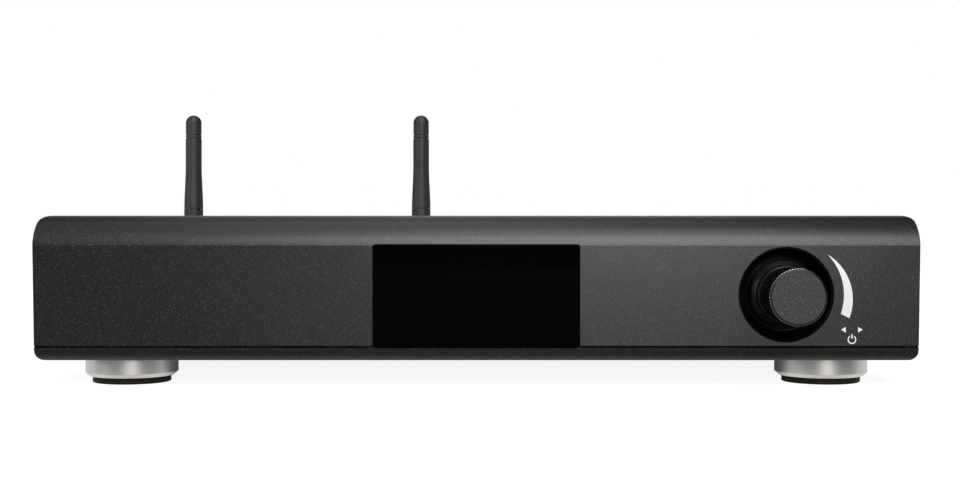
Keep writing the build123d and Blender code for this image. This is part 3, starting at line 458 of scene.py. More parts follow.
class Effects:
    """The surface effects that several finishes share, each one node group."""

    def __init__(self) -> None:
        """Builds the groups."""
        self.grain = self._grain()
        self.rings = self._rings()
        self.film = self._film()

    def _grain(self) -> bpy.types.NodeTree:
        """Blasted or moulded grain: a mottled tone, sparkling grains and a fine relief."""
        sideways, coarse_share, broad_scale = (0.8, 1.0, 1.0), 0.42, 24.0
        fine_weight, broad_weight, spark_rise = 0.75, 0.25, 0.4
        sizes = [("Size", FLOAT, 0.4), ("Sparkle", FLOAT, 0.2), ("Mottle", FLOAT, 0.0)]
        s, given, out = new_group("Grain", [PLACE, *sizes], ["Tone", "Sparkle", "Height"])
        place, scale = given["Place"], s.maths("DIVIDE", 1 / MM, given["Size"])
        drawn = s.node("ShaderNodeVectorMath", operation="MULTIPLY", in_0=place, in_1=sideways)
        fine, broad = s.noise(place, scale, 2.0), s.noise(place, broad_scale, 3.0)
        coarse = s.noise(drawn.outputs[0], s.times(scale, coarse_share), 1.0)
        cells = s.node("ShaderNodeTexVoronoi", in_Vector=place, in_Scale=scale)
        cell = s.node("ShaderNodeSeparateColor", in_Color=cells.outputs["Color"])
        rare = s.maths("SUBTRACT", 1.0, given["Sparkle"])
        spark = s.times(s.maths("GREATER_THAN", cell.outputs[0], rare), cell.outputs[1])
        tone = s.maths("ADD", s.times(fine, fine_weight), s.times(broad, broad_weight))
        height = s.maths("ADD", fine, s.times(spark, spark_rise))
        height = s.maths("ADD", height, s.times(coarse, given["Mottle"]))
        for label, value in (("Tone", tone), ("Sparkle", spark), ("Height", height)):
            s.feed(out, label, value)
        return s.tree

    def _rings(self) -> bpy.types.NodeTree:
        """The fine marks that turning leaves, along the line that the piece is turned about."""
        inputs = [("Along", FLOAT, 0.0), ("Pitch", FLOAT, 0.3)]
        s, given, out = new_group("Turning marks", inputs, ["Tone", "Height"])
        along = s.times(given["Along"], s.maths("DIVIDE", 1 / MM, given["Pitch"]))
        line = s.node("ShaderNodeTexNoise", noise_dimensions="1D", in_Scale=1.0, in_Detail=3.0)
        for label, value in (("Roughness", 0.7), ("W", along)):
            s.feed(line, label, value)
        for label in ("Tone", "Height"):
            s.feed(out, label, line.outputs[0])
        return s.tree

    def _film(self) -> bpy.types.NodeTree:
        """A thin dusty film: more on faces that look up, broken up by a soft noise."""
        level_span, settled_span, cloud_scale = (0.2, 1.0), (0.15, 1.0), 60.0
        inputs = [PLACE, ("Normal", VECTOR, (0, 0, 1)), ("Amount", FLOAT, 0.1)]
        s, given, out = new_group("Dust film", inputs, ["Mask"])
        split = s.node("ShaderNodeSeparateXYZ", in_Vector=given["Normal"])
        upward = s.remap(split.outputs[2], *level_span, *settled_span)
        cloud = s.noise(given["Place"], cloud_scale, 5.0)
        s.feed(out, "Mask", s.times(s.times(upward, cloud), given["Amount"]))
        return s.tree


EFFECTS = Effects()
TONE_SPAN = (0.32, 0.68)
ROUGH_SPAN = (0.3, 0.7)
RING_ROUGHNESS = (-0.04, 0.05)
RING_RELIEF = 2
DUST = (0.42, 0.41, 0.4)
DUST_ROUGHNESS = 0.5


@dataclass(frozen=True)
class Finish:
    """A surface's look, made into one material.

    Attributes:
        name: The material's name.
        colour: The main colour.
        second: The colour that the grain mottles towards.
        roughness: Lowest and highest roughness over the grain.
        metallic: How metallic it is.
        grain: The grain's size in millimetres.
        relief: The depth of the grain's relief in millimetres.
        sparkle: The share of grains that sparkle.
        sparkle_colour: Their colour.
        dust: How much dust film there is.
        rings: The pitch of turning marks in millimetres, or zero for none.
        ring_axis: The line that the marks run along.
        specular: The strength of plain reflections.
        mottle: How much deeper a coarser grain, drawn out sideways, is than the fine one.
    """

    name: str
    colour: Triple
    second: Triple
    roughness: Point
    metallic: float = 0.0
    grain: float = 0.4
    relief: float = 0.01
    sparkle: float = 0.0
    sparkle_colour: Triple = (0.3, 0.3, 0.3)
    dust: float = 0.0
    rings: float = 0.0
    ring_axis: Axis = Axis.HEIGHT
    specular: float = 0.5
    mottle: float = 0.0

    def material(self) -> bpy.types.Material:
        """The finish as a material, built once."""
        found = bpy.data.materials.get(self.name)
        if found:
            return found
        material = bpy.data.materials.new(self.name)
        s = emptied(material)
        place = s.node("ShaderNodeTexCoord").outputs["Object"]
        grain = s.node("ShaderNodeGroup", node_tree=EFFECTS.grain, in_Place=place)
        s.feed(grain, "Size", self.grain)
        s.feed(grain, "Sparkle", self.sparkle)
        s.feed(grain, "Mottle", self.mottle)
        tone = grain.outputs["Tone"]
        colour = s.blend(s.remap(tone, *TONE_SPAN, 0.0, 1.0), self.colour, self.second)
        rough = s.remap(tone, *ROUGH_SPAN, *self.roughness)
        height = s.times(grain.outputs["Height"], self.relief * MM)
        if self.sparkle:
            colour = s.blend(grain.outputs["Sparkle"], colour, self.sparkle_colour)
        if self.rings:
            split = s.node("ShaderNodeSeparateXYZ", in_Vector=place)
            along = split.outputs[1 if self.ring_axis is Axis.DEPTH else 2]
            marks = s.node("ShaderNodeGroup", node_tree=EFFECTS.rings, in_Along=along)
            s.feed(marks, "Pitch", self.rings)
            depth = s.times(marks.outputs["Height"], self.relief * RING_RELIEF * MM)
            height = s.maths("ADD", height, depth)
            change = s.remap(marks.outputs["Tone"], *ROUGH_SPAN, *RING_ROUGHNESS)
            rough = s.maths("ADD", rough, change)
        if self.dust:
            normal = s.node("ShaderNodeNewGeometry").outputs["Normal"]
            film = s.node("ShaderNodeGroup", node_tree=EFFECTS.film, in_Place=place)
            s.feed(film, "Normal", normal)
            s.feed(film, "Amount", self.dust)
            mask = film.outputs["Mask"]
            colour = s.blend(mask, colour, DUST)
            rough = s.maths("ADD", rough, s.times(mask, DUST_ROUGHNESS), clamp=True)
        bump = s.node("ShaderNodeBump", in_Strength=1.0, in_Distance=1.0, in_Height=height)
        shader = s.node("ShaderNodeBsdfPrincipled", in_Base_Color=colour, in_Roughness=rough)
        s.feed(shader, "Normal", bump.outputs[0])
        shader.inputs["Metallic"].default_value = self.metallic
        shader.inputs["Specular IOR Level"].default_value = self.specular
        s.node("ShaderNodeOutputMaterial", in_Surface=shader.outputs[0])
        return material


BLASTED = Finish(
    "black_blasted_aluminium", (0.003, 0.0031, 0.003), (0.005, 0.0051, 0.0049), (0.29, 0.34),
    grain=0.42, relief=0.014, sparkle=0.16, sparkle_colour=(0.038, 0.038, 0.0374), mottle=1.5,
)
TURNED_BLACK = Finish(
    "black_turned_aluminium", grey(0.004), grey(0.008), (0.28, 0.36),
    grain=0.3, relief=0.002, rings=0.25, ring_axis=Axis.DEPTH, specular=0.3,
)
KNURL = Finish(
    "black_diamond_knurl", (0.07, 0.07, 0.068), (0.1, 0.1, 0.097), (0.22, 0.3), 1.0, 0.2, 0.001
)
# Lighter metal on the knurl's front ends: partly diamond-cut tips, partly a painted highlight that
# makes the glints along the knob's rim.
KNURL_GLINT_TIPS = Finish(
    "diamond_cut_tips", (0.36, 0.36, 0.35), (0.5, 0.5, 0.49), (0.22, 0.3), 1.0, 0.2, 0.001
)
KNOB_FACE = Finish(
    "black_blasted_knob_face", grey(0.008), (0.015, 0.015, 0.0145), (0.4, 0.48),
    grain=0.35, relief=0.012, sparkle=0.2, sparkle_colour=grey(0.07),
)
GLOSS = Finish(
    "gloss_black_cup", grey(0.003), grey(0.004), (0.1, 0.14), 0.0, 2.0, 0.0004, specular=0.07
)
GLASS = Finish(
    "black_display_glass", grey(0.001), grey(0.0014), (0.03, 0.05), 0.0, 3.0, 0.0001,
    specular=0.02,
)
STEEL = Finish(
    "turned_steel", (0.62, 0.61, 0.57), (0.7, 0.69, 0.65), (0.26, 0.34), 1.0, 0.25, 0.0008,
    rings=0.2,
)
RUBBER = Finish(
    "black_rubber", (0.005, 0.005, 0.0055), grey(0.009), (0.55, 0.7), 0.0, 0.3, 0.01,
    dust=0.008, specular=0.15,
)
MOULDED = Finish(
    "black_aerial_plastic", (0.02, 0.02, 0.021), grey(0.028), (0.46, 0.54), 0.0, 0.25, 0.004,
    dust=0.03,
)
COVER = Finish(
    "black_anodised_cover", grey(0.014), grey(0.022), (0.42, 0.52),
    relief=0.008, sparkle=0.12, sparkle_colour=grey(0.05), dust=0.03,
)
POWDER = Finish(
    "black_powder_coat", grey(0.018), grey(0.027), (0.42, 0.56), 0.0, 0.7, 0.03, dust=0.02
)
SCREW = Finish("black_oxide_steel", grey(0.03), grey(0.05), (0.3, 0.42), 0.8, 0.2, 0.002)
ZINC = Finish(
    "zinc_plated_steel", (0.55, 0.55, 0.54), (0.64, 0.64, 0.62), (0.25, 0.35), 1.0, 0.6, 0.002
)
GOLD = Finish("gold_plating", (0.83, 0.6, 0.24), (0.9, 0.68, 0.32), (0.16, 0.24), 1.0, 0.3, 0.001)
BRASS = Finish(
    "nickelled_brass", (0.72, 0.66, 0.5), (0.78, 0.72, 0.58), (0.22, 0.32), 1.0, 0.4, 0.001
)
TIN = Finish("tinned_shield", (0.6, 0.6, 0.58), (0.7, 0.7, 0.68), (0.28, 0.4), 1.0, 1.2, 0.004)
SOCKET = Finish(
    "black_socket_plastic", grey(0.02), grey(0.028), (0.4, 0.5), 0.0, 0.3, 0.004, dust=0.02
)
ROCKER = Finish("gloss_rocker_plastic", grey(0.014), grey(0.018), (0.18, 0.24), 0.0, 0.6, 0.001)
INNER = Finish("grey_inner_plastic", grey(0.06), grey(0.08), (0.45, 0.55))
CHIP = Finish("chip_resin", grey(0.02), grey(0.035), (0.5, 0.6))
BOARD = Finish(
    "green_circuit_board", (0.012, 0.09, 0.035), (0.02, 0.13, 0.05), (0.28, 0.38), 0.0, 1.5
)
TAPE = Finish(
    "yellow_winding_tape", (0.42, 0.3, 0.07), (0.5, 0.37, 0.1), (0.35, 0.45), 0.0, 1.2, 0.02
)
FILM = Finish("ribbon_film", (0.62, 0.61, 0.56), (0.72, 0.71, 0.67), (0.35, 0.45), 0.0, 1.0)
LEAD = Finish("lead_sheath", grey(0.02), grey(0.03), (0.4, 0.5))
INK = Finish("white_ink", (0.84, 0.84, 0.82), (0.9, 0.9, 0.88), (0.5, 0.6), 0.0, 0.3, 0.002)

NODE_FINISHES: dict[str, Finish] = {
    "base_pan": POWDER,
    "board_screws": ZINC,
    "digital_out_block": SOCKET,
    "display_board": BOARD,
    "display_module": ZINC,
    "display_ribbon": FILM,
    "display_screws": SCREW,
    "encoder_board": BOARD,
    "encoder_body": INNER,
    "encoder_nut": BRASS,
    "encoder_plunger": INNER,
    "encoder_shaft": BRASS,
    "ethernet_socket": TIN,
    "filter_capacitors": CHIP,
    "heat_sink": COVER,
    "knob_grub_screw": SCREW,
    "line_out_block": SOCKET,
    "main_board": BOARD,
    "main_board_chips": CHIP,
    "mains_inlet": SOCKET,
    "mains_pins": BRASS,
    "network_module": TIN,
    "optical_socket": SOCKET,
    "power_board": BOARD,
    "power_rocker": ROCKER,
    "rca_shells": GOLD,
    "rear_panel": POWDER,
    "rocker_housing": SOCKET,
    "standoffs": BRASS,
    "top_cover": COVER,
    "transformer": TAPE,
    "transformer_clamp": ZINC,
    "transformer_pad": RUBBER,
    "usb_socket": TIN,
    "aerial_leads": LEAD,
}


def paint(piece: Piece, finish: Finish) -> None:
    """Gives a piece one finish all over."""
    piece.data.materials.clear()
    piece.data.materials.append(finish.material())


def dress(
    piece: Piece,
    finish: Finish,
    body: Body | str,
    slot: str | None = None,
    nodes: Iterable[str] = (),
) -> Piece:
    """Gives a piece its finish and its body.

    Args:
        piece: The piece.
        finish: Its finish.
        body: The CAD body that it rides on.
        slot: The record's material slot, if it has one. Not used.
        nodes: The CAD nodes that it stands for.

    Returns:
        The piece.
    """
    rides = body.value if isinstance(body, Body) else body
    paint(piece, finish)
    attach(piece, rides)
    if nodes:
        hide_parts(*nodes)
    LOG.info("%s: %d faces on %s", piece.name, len(piece.data.polygons), rides)
    return piece


# ---- repeats


class Copies:
    """A Geometry Nodes tree that makes copies of a small piece and bakes them."""

    inputs: dict[str, str] = {}

    def __init__(self, name: str, material: bpy.types.Material) -> None:
        """Builds the tree with its named inputs; it ends in plain faces of one material."""
        self.tree = bpy.data.node_groups.new(name, "GeometryNodeTree")
        face, kind = self.tree.interface, "NodeSocketGeometry"
        face.new_socket("Geometry", in_out="INPUT", socket_type=kind)
        self.ids = {}
        for label, held in self.inputs.items():
            socket = face.new_socket(label, in_out="INPUT", socket_type=held)
            self.ids[label] = socket.identifier
        face.new_socket("Geometry", in_out="OUTPUT", socket_type=kind)
        s = Sheet(self.tree)
        given, out = s.node("NodeGroupInput").outputs, s.node("NodeGroupOutput")
        real = s.node("GeometryNodeRealizeInstances", in_Geometry=self.placed(s, given))
        dressed = s.node("GeometryNodeSetMaterial", in_Geometry=real.outputs[0])
        dressed.inputs["Material"].default_value = material
        s.feed(out, 0, dressed.outputs[0])

    def placed(self, s: Sheet, given: bpy.types.NodeOutputs) -> Socket:
        """The copies in their places, as each kind of tree sets them."""
        raise NotImplementedError

    def bake(self, piece: Piece, **values: object) -> Piece:
        """Runs the tree on a piece with its inputs set, and bakes the result."""
        modifier = piece.modifiers.new("copies", "NODES")
        modifier.node_group = self.tree
        for label, value in values.items():
            modifier[self.ids[label]] = value
        return settle(piece)


class Ring(Copies):
    """Copies in a ring round a line along Y: one is drawn about the origin, outside to +X."""

    inputs = {"Count": "NodeSocketInt", "Radius": FLOAT, "Centre": VECTOR}

    def placed(self, s: Sheet, given: bpy.types.NodeOutputs) -> Socket:
        """One copy at each corner of a circle, which is stood up and moved to its centre."""
        ring = s.node("GeometryNodeMeshCircle", in_Vertices=given["Count"])
        s.feed(ring, "Radius", given["Radius"])
        share = s.maths("DIVIDE", s.node("GeometryNodeInputIndex").outputs[0], given["Count"])
        turn = s.node("ShaderNodeCombineXYZ", in_Z=s.times(share, 2 * math.pi))
        copies = s.node("GeometryNodeInstanceOnPoints", in_Points=ring.outputs[0])
        s.feed(copies, "Instance", given["Geometry"])
        s.feed(copies, "Rotation", turn.outputs[0])
        stand = s.node("GeometryNodeTransform", in_Geometry=copies.outputs[0])
        s.feed(stand, "Rotation", (math.pi / 2, 0.0, 0.0))
        s.feed(stand, "Translation", given["Centre"])
        return stand.outputs[0]


class Spread(Copies):
    """Copies of one small piece at every point, each turned as its point says."""

    inputs = {"Unit": "NodeSocketObject"}

    def placed(self, s: Sheet, given: bpy.types.NodeOutputs) -> Socket:
        """One copy of the unit at each point."""
        turn = s.node("GeometryNodeInputNamedAttribute", data_type="FLOAT_VECTOR", in_Name="turn")
        unit = s.node("GeometryNodeObjectInfo", in_Object=given["Unit"])
        copies = s.node("GeometryNodeInstanceOnPoints", in_Points=given["Geometry"])
        s.feed(copies, "Instance", unit.outputs["Geometry"])
        s.feed(copies, "Rotation", turn.outputs[0])
        return copies.outputs[0]

    def apply(self, name: str, unit: Piece, places: Sequence[tuple[Vector, Vector]]) -> Piece:
        """Sets copies of a piece and bakes the result.

        Args:
            name: The name of the piece with all its copies.
            unit: One copy, its outside towards +Z, which is deleted.
            places: Each copy's place in millimetres and the direction that its outside faces.

        Returns:
            The piece with all its copies.
        """
        mesh = bpy.data.meshes.new(name)
        mesh.from_pydata([tuple(place * MM) for place, _ in places], [], [])
        turns = mesh.attributes.new("turn", "FLOAT_VECTOR", "POINT")
        for row, (_, way) in zip(turns.data, places):
            row.vector = way.to_track_quat("Z", "Y").to_euler()
        piece = self.bake(new_piece(name, mesh), Unit=unit)
        remove(unit)
        return piece


# ---- the object's own pieces, their sizes in millimetres


@dataclass
class FrontPanel:
    """The creased aluminium front, with its display window and the mouth of the well."""

    width: float = 430.0
    side_lean: float = 0.8
    widest_drop: float = 15.0
    corner: float = 3.0
    low_corner: float = 4.0
    edge: float = 0.45
    brow: Point = (25.5, 14.7)
    brow_low: Point = (1.75, 7.5)
    brow_high: Point = (8.5, 14.7)
    crease: Point = (0.03, 0.12)
    shadow_line: Point = (1.5, 0.7)
    shadow_mouth: float = 0.06
    bevel: Point = (4.5, 6.8)
    bevel_end: float = 0.4
    bevel_bulge: float = 0.5
    depth: float = 28.0
    wall: float = 8.0
    past: float = 5.0
    cavity: Triple = (5.0, 3.0, 8.0)
    window: Triple = (100.2, 50.3, 1.5)
    window_flare: float = 0.28
    window_bow: Point = (0.12, 0.1)
    ledge: float = 2.6
    pocket: float = 3.2
    well_radius: float = 22.85
    lip: float = 0.45

    def __post_init__(self) -> None:
        """Reads the panel's place from the CAD."""
        low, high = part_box("front_panel")
        self.face = low.y / MM
        self.bottom, self.top = low.z / MM, high.z / MM
        self.low, self.high = self.bottom + self.bevel[1], self.top - self.brow[1]
        self.middle = (self.low + self.high) / 2

    def section(self) -> list[Point]:
        """The panel from the side as depth and height: bevel, shadow line, face and brow."""
        points: list[Point] = []
        depth, rise = self.bevel
        deep, half = self.shadow_line
        for i in range(9):
            t = i / 8
            bow = 4 * t * (1 - t) * self.bevel_bulge
            back = depth * (1 - t) + self.bevel_end * t - bow
            points.append((back, self.bottom + (rise - half) * t - bow))
        points += [(deep, self.low + half * 0.6), (self.shadow_mouth, self.low + half * 0.65)]
        back, up = self.crease
        points += [(0.0, self.low + half), (0.0, self.high - up), (back, self.high + up)]
        guides = [(d, self.high + h) for d, h in (self.brow_low, self.brow_high, self.brow)]
        p0, p1, p2, p3 = [Vector(spot) for spot in (points[-1], *guides)]
        for i in range(1, 33):
            t = i / 32
            spot = p0 * (1 - t) ** 3 + p1 * 3 * t * (1 - t) ** 2
            spot += p2 * 3 * t * t * (1 - t)
            spot += p3 * t**3
            points.append((spot.x, spot.y))
        return points + [(self.depth, self.top), (self.depth, self.bottom)]

    def _ends(self) -> Piece:
        """The solid that trims the panel's ends, with its front edge rounded."""
        turns = [math.radians(a) for a in range(0, 91, 18)]
        steps = [(self.edge * (1 - math.sin(a)), self.edge * (1 - math.cos(a))) for a in turns]
        rings = []
        for inset, depth in ((steps[0][0], -self.past), *steps, (0.0, self.depth + self.past)):
            origin = Vector((0, (self.face + depth) * MM, 0))
            outline = self._end_outline(inset)
            rings.append([origin + X * (a * MM) + Z * (b * MM) for a, b in outline])
        return lofted("ends", rings)

    def _end_outline(self, inset: float) -> list[Point]:
        """Past the panel above and below, so that only its sides and corners are trimmed."""
        half, low = self.width / 2 - inset, self.width / 2 - self.side_lean - inset
        r = self.corner
        corner = arc((half - r, self.top - r), r, 0, 88, 10)
        r = self.low_corner
        foot = arc((low - r, self.bottom + r), r, 270, 360, 8)
        right = [(low - 12, self.bottom - self.past), *foot]
        right += [(half, self.top - self.widest_drop), *corner]
        right.append((half - self.corner - 8, self.top + 0.4))
        return right + [(-a, b) for a, b in reversed(right)]

    def build(self) -> Piece:
        """Makes the panel."""
        stations = []
        for side in (-1, 1):
            stations.append((Vector((side * self.width / 2 * MM, self.face * MM, 0)), Y, Z))
        panel = swept("front_panel_shell", self.section(), stations)
        cut(panel, self._ends(), "INTERSECT")
        aside, under, over = self.cavity
        inner = self.width / 2 - self.side_lean - aside
        low, high = self.bottom + under, self.top - over
        cavity = [(-inner, low), (inner, low), (inner, high), (-inner, high)]
        back = self.face + self.wall
        cut(panel, prism("cavity", cavity, back, self.face + self.depth + self.past))
        flare = self.window_flare
        before = ((flare, -self.past), (flare, -0.02))
        steps = (*before, self.window_bow, (0.0, flare), (0.0, self.pocket))
        centre = (0.0, self.face * MM, self.middle * MM)
        cut(panel, framed("window", self.window, centre, steps))
        width, height, radius = self.window
        width, height = width - 2 * self.ledge, height - 2 * self.ledge
        inside = rounded_rectangle(width, height, radius, (0.0, self.middle))
        cut(panel, prism("window_inner", inside, self.face + 1, back + 3))
        cut(panel, self._well_tool())
        return dress(shade(panel, 24), BLASTED, Body.CASE, "black_anodised", ["front_panel"])

    def _well_tool(self) -> Piece:
        """What cuts the well's mouth and rolls its lip."""
        outer = self.well_radius + self.lip
        past, back = outer + 0.6, self.wall + 3
        lip = arc((outer, self.lip), self.lip, 270, 180, 10)
        front = [(0.0, -self.past), (past, -self.past), (past, -0.001)]
        points = [*front, *lip, (self.well_radius, back), (0.0, back)]
        middle = middle_of("knob_well")
        centre = Vector((middle.x, self.face * MM, middle.z))
        return turned("well_tool", points, Axis.DEPTH, centre, 144)


@dataclass
class Marks:
    """The printed marks beside the knob: a tapered crescent, two arrows and a ring."""

    proud: float = 0.03
    sunk: float = 0.05
    inner: float = 27.87
    turns: Point = (44.5, -19.3)
    outer: float = 25.45
    outer_centre: Point = (6.68, -2.23)
    outer_turns: Point = (58.8, -20.9)
    sign: Point = (181.7, 25.7)
    arrow: Point = (5.27, 2.3)
    arrow_levels: Triple = (2.6, 4.0, 1.2)
    ring: Triple = (2.108, 1.564, -2.2)
    bar: Triple = (0.55, 2.2, 0.1)
    bar_level: float = -0.7

    def crescent(self) -> list[Point]:
        """The crescent's outline, between two circles that meet at its tip."""
        middle = middle_of("knob_well")
        x, z = middle.x / MM, middle.z / MM
        inside = arc((x, z), self.inner, *self.turns, 48)
        centre = (x + self.outer_centre[0], z + self.outer_centre[1])
        return inside + arc(centre, self.outer, *self.outer_turns, 48)[:0:-1]

    def outlines(self) -> Iterable[tuple[str, list[Point]]]:
        """Each mark's name and outline."""
        yield "printed_crescent", self.crescent()
        x, z = self.sign
        reach, length = self.arrow
        for name, side in (("sign_left_arrow", -1), ("sign_right_arrow", 1)):
            tip, tail = x + side * reach, x + side * (reach - length)
            corners = zip((tip, tail, tail), self.arrow_levels)
            yield name, [(a, z + level) for a, level in corners][::side]
        outer, inner, level = self.ring
        hub = (x, z + level)
        yield "sign_standby_ring", arc(hub, outer, 120, 420, 40) + arc(hub, inner, 420, 120, 40)
        yield "sign_standby_bar", rounded_rectangle(*self.bar, (x, z + self.bar_level))

    def build(self) -> None:
        """Makes each mark as a thin shape, a little proud of the face."""
        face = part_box("front_panel")[0].y / MM
        for name, outline in self.outlines():
            mark = prism(name, outline, face - self.proud, face + self.sunk)
            dress(shade(mark, 30), INK, Body.CASE)


@dataclass
class Display:
    """The black glass in its window."""

    size: Triple = (99.9, 50.0, 1.5)
    ground: Point = (0.22, 0.07)
    wall: float = 3.0

    def build(self) -> Piece:
        """Makes the glass, its front edge ground."""
        edge, fine = self.ground
        steps = ((-edge, 0.0), (-fine, fine), (0.0, edge), (0.0, self.wall))
        middle = middle_of("display_lens")
        centre = (middle.x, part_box("display_lens")[0].y, middle.z)
        glass = shade(framed("display_glass", self.size, centre, steps), 30)
        return dress(glass, GLASS, Body.CASE, "display_glass", ["display_lens"])


@dataclass
class Well:
    """The glossy dished cup behind the knob."""

    rim: float = 22.25
    start: float = 1.4
    shoulder: Point = (21.9, 4.8)
    floor_radius: float = 18.35
    dish_share: float = 0.985
    depth: float = 11.0
    hole: float = 4.6
    outer: float = 22.75
    flange: Triple = (26.0, 8.0, 10.0)
    back: float = 12.6

    def build(self) -> Piece:
        """Makes the cup."""
        middle = middle_of("knob_well")
        centre = Vector((middle.x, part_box("knob_well")[0].y - self.start * MM, middle.z))
        x0, y0 = self.shoulder
        drop, run = (self.depth - y0) * self.dish_share, x0 - self.floor_radius
        points = [(self.rim, self.start)]
        for i in range(17):
            a = math.radians(90 * i / 16)
            points.append((x0 - run * (1 - math.cos(a)), y0 + drop * math.sin(a)))
        points += [(self.floor_radius - 0.15, self.depth - 0.02)]
        points += [(self.floor_radius - 0.5, self.depth), (self.hole, self.depth)]
        radius, front, rear = self.flange
        points += [(self.hole, self.back), (self.outer, self.back), (self.outer, rear)]
        points += [(radius, rear), (radius, front), (self.outer, front), (self.outer, self.start)]
        cup = shade(turned("knob_well_cup", points, Axis.DEPTH, centre, 144), 28)
        return dress(cup, GLOSS, Body.CASE, "gloss_black", ["knob_well"])


@dataclass
class Knob:
    """The push-and-turn knob: blasted face, knurled barrel and flared skirt."""

    proud: float = 27.3
    radius: float = 13.6
    ridge: float = 0.35
    ridges: int = 60
    ridge_fill: float = 0.92
    ridge_top: Point = (0.22, 0.8)
    ridge_sunk: float = 0.15
    margin: float = 0.8
    face_inset: float = 0.8
    cap: float = 0.4
    tip: float = 0.45
    skirt: float = 16.3
    neck: float = 13.9
    skirt_drop: float = 4.0
    flare_start: float = 2.2
    back: float = 9.4
    cavity: float = 11.0
    core: float = 3.0
    bore: float = 3.05
    reach: float = 13.8

    def build(self) -> None:
        """Makes the body, its face and the ridges."""
        middle = middle_of("knob")
        centre = Vector((middle.x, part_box("knob")[0].y + self.proud * MM, middle.z))
        root, slot = self.radius - self.ridge, "black_anodised_turned"
        face, front, cap = root - self.face_inset, -self.proud, self.cap - self.proud
        barrel = turned("knob_barrel", self._outline(root), Axis.DEPTH, centre, 120)
        dress(shade(barrel, 30), TURNED_BLACK, Body.KNOB, slot, ["knob"])
        corners = [(0.0, front), (face, front), (face, cap), (0.0, cap)]
        disc = turned("knob_face", corners, Axis.DEPTH, centre, 120)
        dress(shade(disc, 30), KNOB_FACE, Body.KNOB, slot)
        start, end = self.proud - self.margin, self.margin + 0.2
        join = start - self.tip
        body = [(end, 0.3), (end + 0.35, 1.0), (join, 1.0), (join + 0.02, 0.3)]
        tips = [(join, 0.3), (join + 0.02, 1.0), (start - 0.24, 1.0), (start, 0.2)]
        # The tips' lighter metal is partly a painted highlight: it makes the glints along the rim.
        for name, heights, finish in (
            ("knob_ridges", body, KNURL),
            ("knob_ridge_tips", tips, KNURL_GLINT_TIPS),
        ):
            copies = Ring(f"Ring of {name}", finish.material())
            ring = self._ridge(name, heights, root)
            copies.bake(ring, Count=self.ridges, Radius=root * MM, Centre=tuple(centre))
            dress(shade(ring, 50), finish, Body.KNOB, slot)

    def _outline(self, root: float) -> list[Point]:
        """The body's radius against depth: face edge, barrel, flare, skirt, cavity and bore."""
        face, front, neck = root - self.face_inset, -self.proud, self.neck
        skirt, drop, back = self.skirt, self.skirt_drop, self.back
        bends = [(neck, -self.margin), (neck + 0.2, self.flare_start), (skirt - 0.12, drop)]
        points = [(face, front), (face + 0.1, front + 0.01), (root - 0.1, front + 0.22)]
        points += [(root, front + 0.36), (root, -self.margin - 0.3)]
        points += [(neck - 0.1, -self.margin), *softened(bends, 1.4, 8)[1:]]
        points += [(skirt - 0.06, drop + 0.03), (skirt, drop + 0.15)]
        points += [(skirt, back - 0.3), (skirt - 0.3, back), (self.cavity, back)]
        points += [(self.cavity, -self.core), (self.bore, -self.core), (self.bore, -self.reach)]
        return points + [(0.0, -self.reach), (0.0, self.cap + front), (face, self.cap + front)]

    def _ridge(self, name: str, heights: Sequence[Point], root: float) -> Piece:
        """One ridge of a stretch of the knurl, drawn along Z.

        Args:
            name: The stretch's name.
            heights: Place along the knob and share of the full height at each station.
            root: The barrel's radius between ridges.

        Returns:
            The ridge, to be repeated round the barrel.
        """
        high, half = self.ridge, math.pi * root / self.ridges * self.ridge_fill
        near, shoulder, sunk = half * self.ridge_top[0], high * self.ridge_top[1], -self.ridge_sunk
        outline = [(sunk, -half), (0.0, -half), (shoulder, -near), (high, 0.0)]
        outline += [(shoulder, near), (0.0, half), (sunk, half)]
        stations = [(Vector((0, 0, height * MM)), X * lift, Y) for height, lift in heights]
        return swept(name, outline, stations)


@dataclass
class Foot:
    """A turned steel foot with its rubber ring."""

    name: str
    radius: float = 23.0
    clear: float = 3.2
    bevel: Point = (2.3, 1.9)
    rounding: float = 0.5
    bore: Point = (2.6, 4.7)
    seat: float = 3.0
    pad_rounding: float = 0.7
    pad_radius: float = 19.45
    pad_bore: float = 11.0
    pad_gap: float = 0.15
    recess: float = 2.0

    def build(self) -> None:
        """Makes the foot and its ring."""
        node = f"foot_{self.name}"
        middle, top = middle_of(node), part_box(node)[1].z / MM
        centre = Vector((middle.x, middle.y, 0))
        inner, sunk = self.pad_radius + self.pad_gap, self.clear + self.recess
        narrow, wide = self.bore
        run, rise = self.bevel
        corners = [(narrow, top), (self.radius, top), (self.radius, self.clear + rise)]
        corners += [(self.radius - run, self.clear), (inner, self.clear)]
        points = softened(corners, self.rounding, 5) + [(inner, sunk), (wide, sunk)]
        points += [(wide, top - self.seat), (narrow, top - self.seat)]
        metal = shade(turned(f"{node}_metal", points, Axis.HEIGHT, centre, 128), 28)
        dress(metal, STEEL, Body.CASE, "turned_steel", [node])
        corners = [(self.pad_bore, sunk), (self.pad_radius, sunk)]
        corners += [(self.pad_radius, 0.0), (self.pad_bore, 0.0)]
        points = softened(corners, self.pad_rounding, 5, closed=True)
        ring = shade(turned(f"{node}_ring", points, Axis.HEIGHT, centre, 96), 40)
        dress(ring, RUBBER, Body.CASE, "rubber", [f"foot_pad_{self.name}"])


